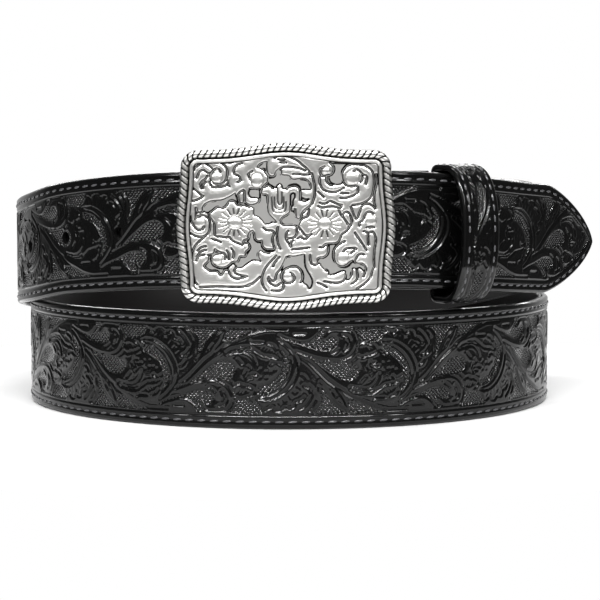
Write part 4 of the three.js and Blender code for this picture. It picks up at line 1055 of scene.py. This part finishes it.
# Round bosses: middle x and y, and radii.
BOSSES = [(-21.7, 15.4, 1.7, 1.7), (-27, 1.3, 1.7, 1.6), (-9, 14.6, 1.9, 1.9), (12.5, 17.6, 1.3, 1.2),
          (20.7, 15.3, 2.1, 2.1), (26.5, 2.0, 1.7, 1.7), (-21.5, -10.3, 1.6, 1.5), (0.5, -15.5, 1.5, 1.4),
          (18, -9.8, 1.9, 1.9), (-15.8, 1.4, 2.1, 1.6), (12, 1, 1.9, 1.7)]
# Flowers: middle x and y, inner and outer radius of the rays, and their number.
FLOWERS = [(-15.8, 1.4, 2.9, 5.1, 17), (12, 1, 2.7, 5.0, 16)]


def plate_maps():
    """Height, matting, and tarnish with a little painted shade on the sunk grounds, of the plate's inner
    part.
    """
    xs, ys = np.arange(-32, 32.1, 0.14), np.arange(-24, 24.1, 0.14)
    gx, gy = np.meshgrid(xs, ys)
    rays = []
    for x, y, inner, outer, count in FLOWERS:
        for turn in np.arange(count) * 2 * np.pi / count + 0.2:
            way = np.array([math.cos(turn), 0.86 * math.sin(turn)])
            rays.append(np.array([(x, y) + way * inner, (x, y) + way * outer]))
    cuts = distance_map(FURROWS, xs, ys, 3.0)
    fine = distance_map(rays + PETAL_LINES, xs, ys, 3.0)
    rim = distance_map([np.vstack([g, g[:1]]) for g in SUNK_GROUNDS], xs, ys, 3.0)
    sunk = inside_map(SUNK_GROUNDS, xs, ys)
    ground = step_up(np.where(sunk, rim, -rim), -0.05, 0.3)
    edge = np.minimum(cuts, np.where(sunk, 9, rim))
    height = -0.42 * np.exp(-edge / 0.75) + groove(cuts, 0.45, 0.27) + groove(fine, 0.28, 0.22)
    dark = 0.98 * step_up(-cuts, -0.52, -0.3) + 0.85 * step_up(-fine, -0.38, -0.17)
    dark += 0.98 * step_up(-np.where(sunk, rim, 1.6 * rim), -0.6, -0.34)
    for x, y, rx, ry in BOSSES:
        away = np.hypot((gx - x) / rx, (gy - y) / ry)
        dome = np.sqrt(np.clip(1 - away**2, 0, 1))
        moat = np.exp(-(((away - 1.1) * rx / 0.2) ** 2))
        height = np.where(away < 1.0, np.maximum(height, -0.3 + 0.6 * dome), height) - 0.15 * moat
        dark = np.where(away < 0.95, dark * 0.2, dark) + 0.3 * moat
    height = height * (1 - ground) - 0.8 * ground
    # Besides the tarnish in cuts and hollows, the sunk grounds are darkened a little as painted shade.
    return xs, ys, height, ground, np.clip(dark + 0.1 * ground, 0, 1)


CARVE_X, CARVE_Y, CARVE_HEIGHT, CARVE_GROUND, CARVE_DARK = plate_maps()
print("plate map", CARVE_HEIGHT.shape, CARVE_HEIGHT.min().round(2), CARVE_HEIGHT.max().round(2))


def plate_relief(x, y):
    """Height, matting, and tarnish with painted shade, at points of the plate."""
    edge = edge_distance(x, y)
    bead = np.sqrt(np.clip(1 - ((edge - BEAD_LINE) / BEAD_RADIUS) ** 2, 0, 1)) * BEAD_RADIUS
    height = np.where(edge < PLATE["bead"], PLATE["rim"], PLATE["leaf"] - LEAF_DROP)
    height = np.where(np.abs(edge - BEAD_LINE) < BEAD_RADIUS, BEAD_FOOT + bead, height)
    tarnish_and_shade = step_up(-np.abs(edge - 2.72), -0.36, -0.2) + step_up(-np.abs(edge - 4.25), -0.26, -0.12)
    carved, ground, dark = plate_carving(x, y)
    inner = step_up(edge, 4.2, 4.5)
    height = height + inner * (carved + LEAF_DROP)
    return height, ground * inner, np.clip(tarnish_and_shade + dark * inner, 0, 1)


def plate_carving(x, y):
    """Height, matting, and tarnish with painted shade, of the relief at points of the plate."""
    return [read_map(field, CARVE_X, CARVE_Y, x, y) for field in (CARVE_HEIGHT, CARVE_GROUND, CARVE_DARK)]


def plate_front():
    columns, rows = int(330 / DETAIL), int(252 / DETAIL)
    bm, column, row = grid_mesh(columns, rows)
    u, v = column / (columns - 1) * 2 - 1, row / (rows - 1) * 2 - 1
    x, y = plate_spread(u, v, ROPE["inset"] + 0.5)
    height, matted, tarnish_and_shade = plate_relief(x, y)
    rim = (column == 0) | (column == columns - 1) | (row == 0) | (row == rows - 1)
    height = np.where(rim, PLATE["rim"] - 0.9, height)
    set_points(bm, on_plate(x, y, height))
    keep_values(bm, "plate_mm", np.stack([x, y, np.zeros_like(x)], axis=1))
    keep_values(bm, "matted", matted)
    keep_values(bm, "tarnish_and_shade", tarnish_and_shade)
    return finish_piece(bm, "plate_relief", antique_silver)


def plate_back():
    bm, column, row = grid_mesh(49, 37)
    u, v = column / 48 * 2 - 1, row / 36 * 2 - 1
    x, y = plate_spread(u, v, 0.9)
    set_points(bm, on_plate(x, y, PLATE["rim"] - 0.2))
    bmesh.ops.recalc_face_normals(bm, faces=bm.faces)
    bmesh.ops.solidify(bm, geom=bm.faces[:], thickness=(PLATE["rim"] - 0.2) * MM)
    return finish_piece(bm, "plate_back", antique_silver)


def outline_line(inset, count):
    """Even points along the plate's outline at an inset, with directions out and along."""
    t = np.linspace(-1, 1, 1501)[:-1]
    one = np.ones_like(t)
    u = np.concatenate([t, one, -t, -one])
    v = np.concatenate([one, -t, -one, t])
    x, y = plate_spread(u, v, inset)
    x, y = np.append(x, x[0]), np.append(y, y[0])
    length = np.concatenate([[0], np.cumsum(np.hypot(np.diff(x), np.diff(y)))])
    even = np.linspace(0, length[-1], count)
    x, y = np.interp(even, length, x), np.interp(even, length, y)
    tx = np.gradient(np.concatenate([x[-3:-1], x, x[1:3]]))[2:-2]
    ty = np.gradient(np.concatenate([y[-3:-1], y, y[1:3]]))[2:-2]
    size = np.hypot(tx, ty)
    return x, y, -ty / size, tx / size, tx / size, ty / size, even / length[-1]


def rope_piece():
    """Twisted rope: lobes wind round a tube, and the furrows between them are dark."""
    columns, rows = int(12 * ROPE["strands"] / DETAIL) + 1, 23
    x, y, ox, oy, tx, ty, part = outline_line(ROPE["inset"], columns)
    bm, column, row = grid_mesh(columns, rows)
    around_tube = row / (rows - 1) * 2 * np.pi
    strand = (part[column] * ROPE["strands"] + 0.42 * np.cos(around_tube)) % 1.0
    lobe = np.sqrt(np.clip(1 - np.abs(2 * strand - 1) ** 3.5, 0, 1))
    radius = ROPE["radius"] * (0.80 + 0.20 * lobe)
    out = -radius * np.cos(around_tube)
    height = ROPE["height"] + radius * np.sin(around_tube)
    set_points(bm, on_plate(x[column] + ox[column] * out, y[column] + oy[column] * out, height))
    keep_values(bm, "tarnish_and_shade", step_up(0.98 - lobe, 0.0, 0.22))
    keep_values(bm, "matted", np.zeros(len(row)))
    bmesh.ops.remove_doubles(bm, verts=bm.verts, dist=0.002 * MM)
    return finish_piece(bm, "plate_rope", antique_silver, sharp=math.radians(80))


def rod(bm, start, end, radius, tip_radius=None, segments=24):
    """Adds a round bar between two points in mm."""
    start, end = Vector((start + CENTRE) * MM), Vector((end + CENTRE) * MM)
    turn = (end - start).to_track_quat("Z", "Y").to_matrix().to_4x4()
    bmesh.ops.create_cone(bm, cap_ends=True, segments=segments, radius1=radius * MM,
                          radius2=(tip_radius or radius) * MM, depth=(end - start).length,
                          matrix=Matrix.Translation((start + end) / 2) @ turn)


def bale_and_hook():
    bm = bmesh.new()
    height = float(path_middle(BAR_ANGLE))
    bar = around(BAR_ANGLE, float(path_radius(BAR_ANGLE)) - TURN_RADIUS, height)
    up = np.array([0, 0, 21.6])
    rod(bm, bar - up, bar + up, 1.75)
    for end in (bar - up, bar + up):
        front = end.copy()
        front[1] = PLATE["back"] + 0.3
        rod(bm, end + np.array([0, 1.4, 0]), front, 1.6)
    peg = HOLE_ANGLES[3]
    radius, peg_height = float(path_radius(peg + UPPER_TURN)), float(path_middle(peg + UPPER_TURN))
    shoulder = around(peg, radius - 2.6, peg_height)
    rod(bm, around(peg, radius + 5.0, peg_height), shoulder, 1.65)
    rod(bm, shoulder, around(peg, radius - 4.4, peg_height), 1.65, 0.9)
    return finish_piece(bm, "bar_loop_and_peg", antique_silver)


plate_pieces = [plate_front(), plate_back(), rope_piece(), bale_and_hook()]
for piece in plate_pieces:
    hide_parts("buckle_plate")

# %% [markdown]
# ## Snap caps
# Two domed caps close the turned end of the strap. A disc, extruded and bevelled, is all they are.

# %% Snap caps
CAP = {"angle": 24.5, "place": 87.4, "apart": 9.5, "radius": 5.0, "thick": 1.5, "bevel": 1.1}


def snap_cap(name, sign):
    bm = bmesh.new()
    centre = around(CAP["angle"], CAP["place"], float(path_middle(BAR_ANGLE)) + sign * CAP["apart"])
    turn = (Matrix.Rotation(math.radians(CAP["angle"]), 4, "Z")
            @ Matrix.Rotation(math.radians(-90), 4, "X"))
    bmesh.ops.create_cone(bm, cap_ends=True, segments=40, radius1=CAP["radius"] * MM,
                          radius2=CAP["radius"] * MM, depth=CAP["thick"] * MM,
                          matrix=Matrix.Translation(Vector((centre + CENTRE) * MM)) @ turn)
    inward = Vector(around(CAP["angle"], -1.0, 0.0))
    rim = [e for e in bm.edges if all(abs(f.normal.dot(inward)) < 0.5 or f.normal.dot(inward) > 0.9
                                      for f in e.link_faces)
           and any(f.normal.dot(inward) > 0.9 for f in e.link_faces)]
    bmesh.ops.bevel(bm, geom=rim, offset=CAP["bevel"] * MM, segments=5, profile=0.5, affect="EDGES",
                    material=-1)
    return finish_piece(bm, name, snap_nickel)


caps = [snap_cap("snap_cap_upper", 1), snap_cap("snap_cap_lower", -1)]
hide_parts("snap_cap_1")
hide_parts("snap_cap_2")

# %% [markdown]
# ## Floor, light and camera
# The belt stands on a plain white round table. It is small, so that the glossy leather doesn't mirror
# it, and it glows at its rim, where it meets the white room. The lights are long and narrow, above and
# in front, because the photo's highlights are thin bright lines; two small ones graze the ends of the
# coil, and one behind it brightens the line in the gap between the two turns. What the leather
# reflects from the front is dim, so the leather stays black.

# %% Stage
bm = bmesh.new()
bmesh.ops.create_circle(bm, cap_ends=True, segments=96, radius=0.22)
white_paper, tree, shader = new_material("white_paper", Base_Color=colour("#d6d6d6"), Roughness=0.9,
                                         Emission_Color=(1, 1, 1, 1))
spot = add_node(tree, "ShaderNodeTexCoord")
away = add_node(tree, "ShaderNodeVectorMath", {"operation": "LENGTH"}, {0: spot.outputs["Object"]})
glow = add_node(tree, "ShaderNodeMapRange", {"From Min": 0.14, "From Max": 0.21, "To Min": 0.0,
                                            "To Max": 1.0}, {"Value": away.outputs["Value"]})
tree.links.new(glow.outputs["Result"], shader.inputs["Emission Strength"])
floor = finish_piece(bm, "floor", white_paper, smooth=False)
made_here.remove("floor")


def soft_light(name, place, aim, wide, tall, power):
    """Rectangular area light, in metres and watts."""
    light = bpy.data.lights.new(name, "AREA")
    light.shape, light.size, light.size_y, light.energy = "RECTANGLE", wide, tall, power
    lamp = bpy.data.objects.new(name, light)
    lamp.location = place
    lamp.rotation_mode = "QUATERNION"
    lamp.rotation_quaternion = (Vector(aim) - Vector(place)).to_track_quat("-Z", "Y")
    bpy.context.collection.objects.link(lamp)


soft_light("top_light", (0.0, 0.0, 1.1), (0, 0, 0), 1.2, 0.03, 8)
soft_light("front_strip", (0.0, -0.85, 0.72), (0, 0, 0.05), 1.3, 0.02, 24)
soft_light("back_light", (0.0, 0.9, 0.5), (0, 0, 0.05), 1.3, 0.06, 5)
soft_light("left_light", (-0.75, -0.7, 0.5), (0, 0, 0.05), 0.08, 0.2, 1.5)
soft_light("right_light", (0.75, -0.7, 0.5), (0, 0, 0.05), 0.08, 0.2, 1.5)

world = bpy.data.worlds.new("studio")
bpy.context.scene.world = world
world.use_nodes = True
tree = world.node_tree
tree.nodes.clear()
sky_way = add_node(tree, "ShaderNodeTexCoord")
axes = add_node(tree, "ShaderNodeSeparateXYZ", {}, {"Vector": sky_way.outputs["Generated"]})
behind = add_node(tree, "ShaderNodeMapRange", {"From Min": -1.0, "From Max": 1.0},
                  {"Value": axes.outputs["Y"]})
depth = add_node(tree, "ShaderNodeValToRGB", {}, {"Fac": behind.outputs["Result"]})
ramp = depth.color_ramp
ramp.elements[0].position, ramp.elements[0].color = 0.0, (0.25, 0.25, 0.25, 1)
ramp.elements[1].position, ramp.elements[1].color = 0.9, (0.65, 0.65, 0.65, 1)
for place, level in ((0.14, 0.12), (0.5, 0.12), (0.74, 0.09)):
    ramp.elements.new(place).color = (level, level, level, 1)
room = add_node(tree, "ShaderNodeBackground", {"Strength": 1.0}, {"Color": depth.outputs["Color"]})
paper = add_node(tree, "ShaderNodeBackground", {"Color": (1, 1, 1, 1), "Strength": 1.0})
seen = add_node(tree, "ShaderNodeLightPath")
mixed = add_node(tree, "ShaderNodeMixShader", {}, {0: seen.outputs["Is Camera Ray"],
                                                  1: room.outputs[0], 2: paper.outputs[0]})
add_node(tree, "ShaderNodeOutputWorld", {}, {"Surface": mixed.outputs[0]})

# %% [markdown]
# ## Camera
# The photo is taken from the front with a long lens, a little above the belt and looking slightly
# down. The place and the lens were found from the strap's outline, given a strap of 38 mm.

# %% Camera
EYE = np.array([4.0, -705.0, 88.5])
PITCH_DOWN = 4.33
camera_data = bpy.data.cameras.new("camera")
camera_data.lens, camera_data.sensor_width = 113.3, 36.0
camera = bpy.data.objects.new("camera", camera_data)
camera.location = Vector((EYE + CENTRE) * MM)
camera.rotation_euler = (math.radians(90 - PITCH_DOWN), 0, 0)
bpy.context.collection.objects.link(camera)
bpy.context.scene.camera = camera
bpy.context.scene.view_settings.view_transform = "Standard"

# %% [markdown]
# ## One body
# The belt has no joint: coiled on its edge it is one resting thing, so each piece rides on the root.

# %% Everything rides on the one body
for piece in bpy.context.scene.objects:
    if piece.type == "MESH" and piece.name in made_here:
        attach(piece, "root")
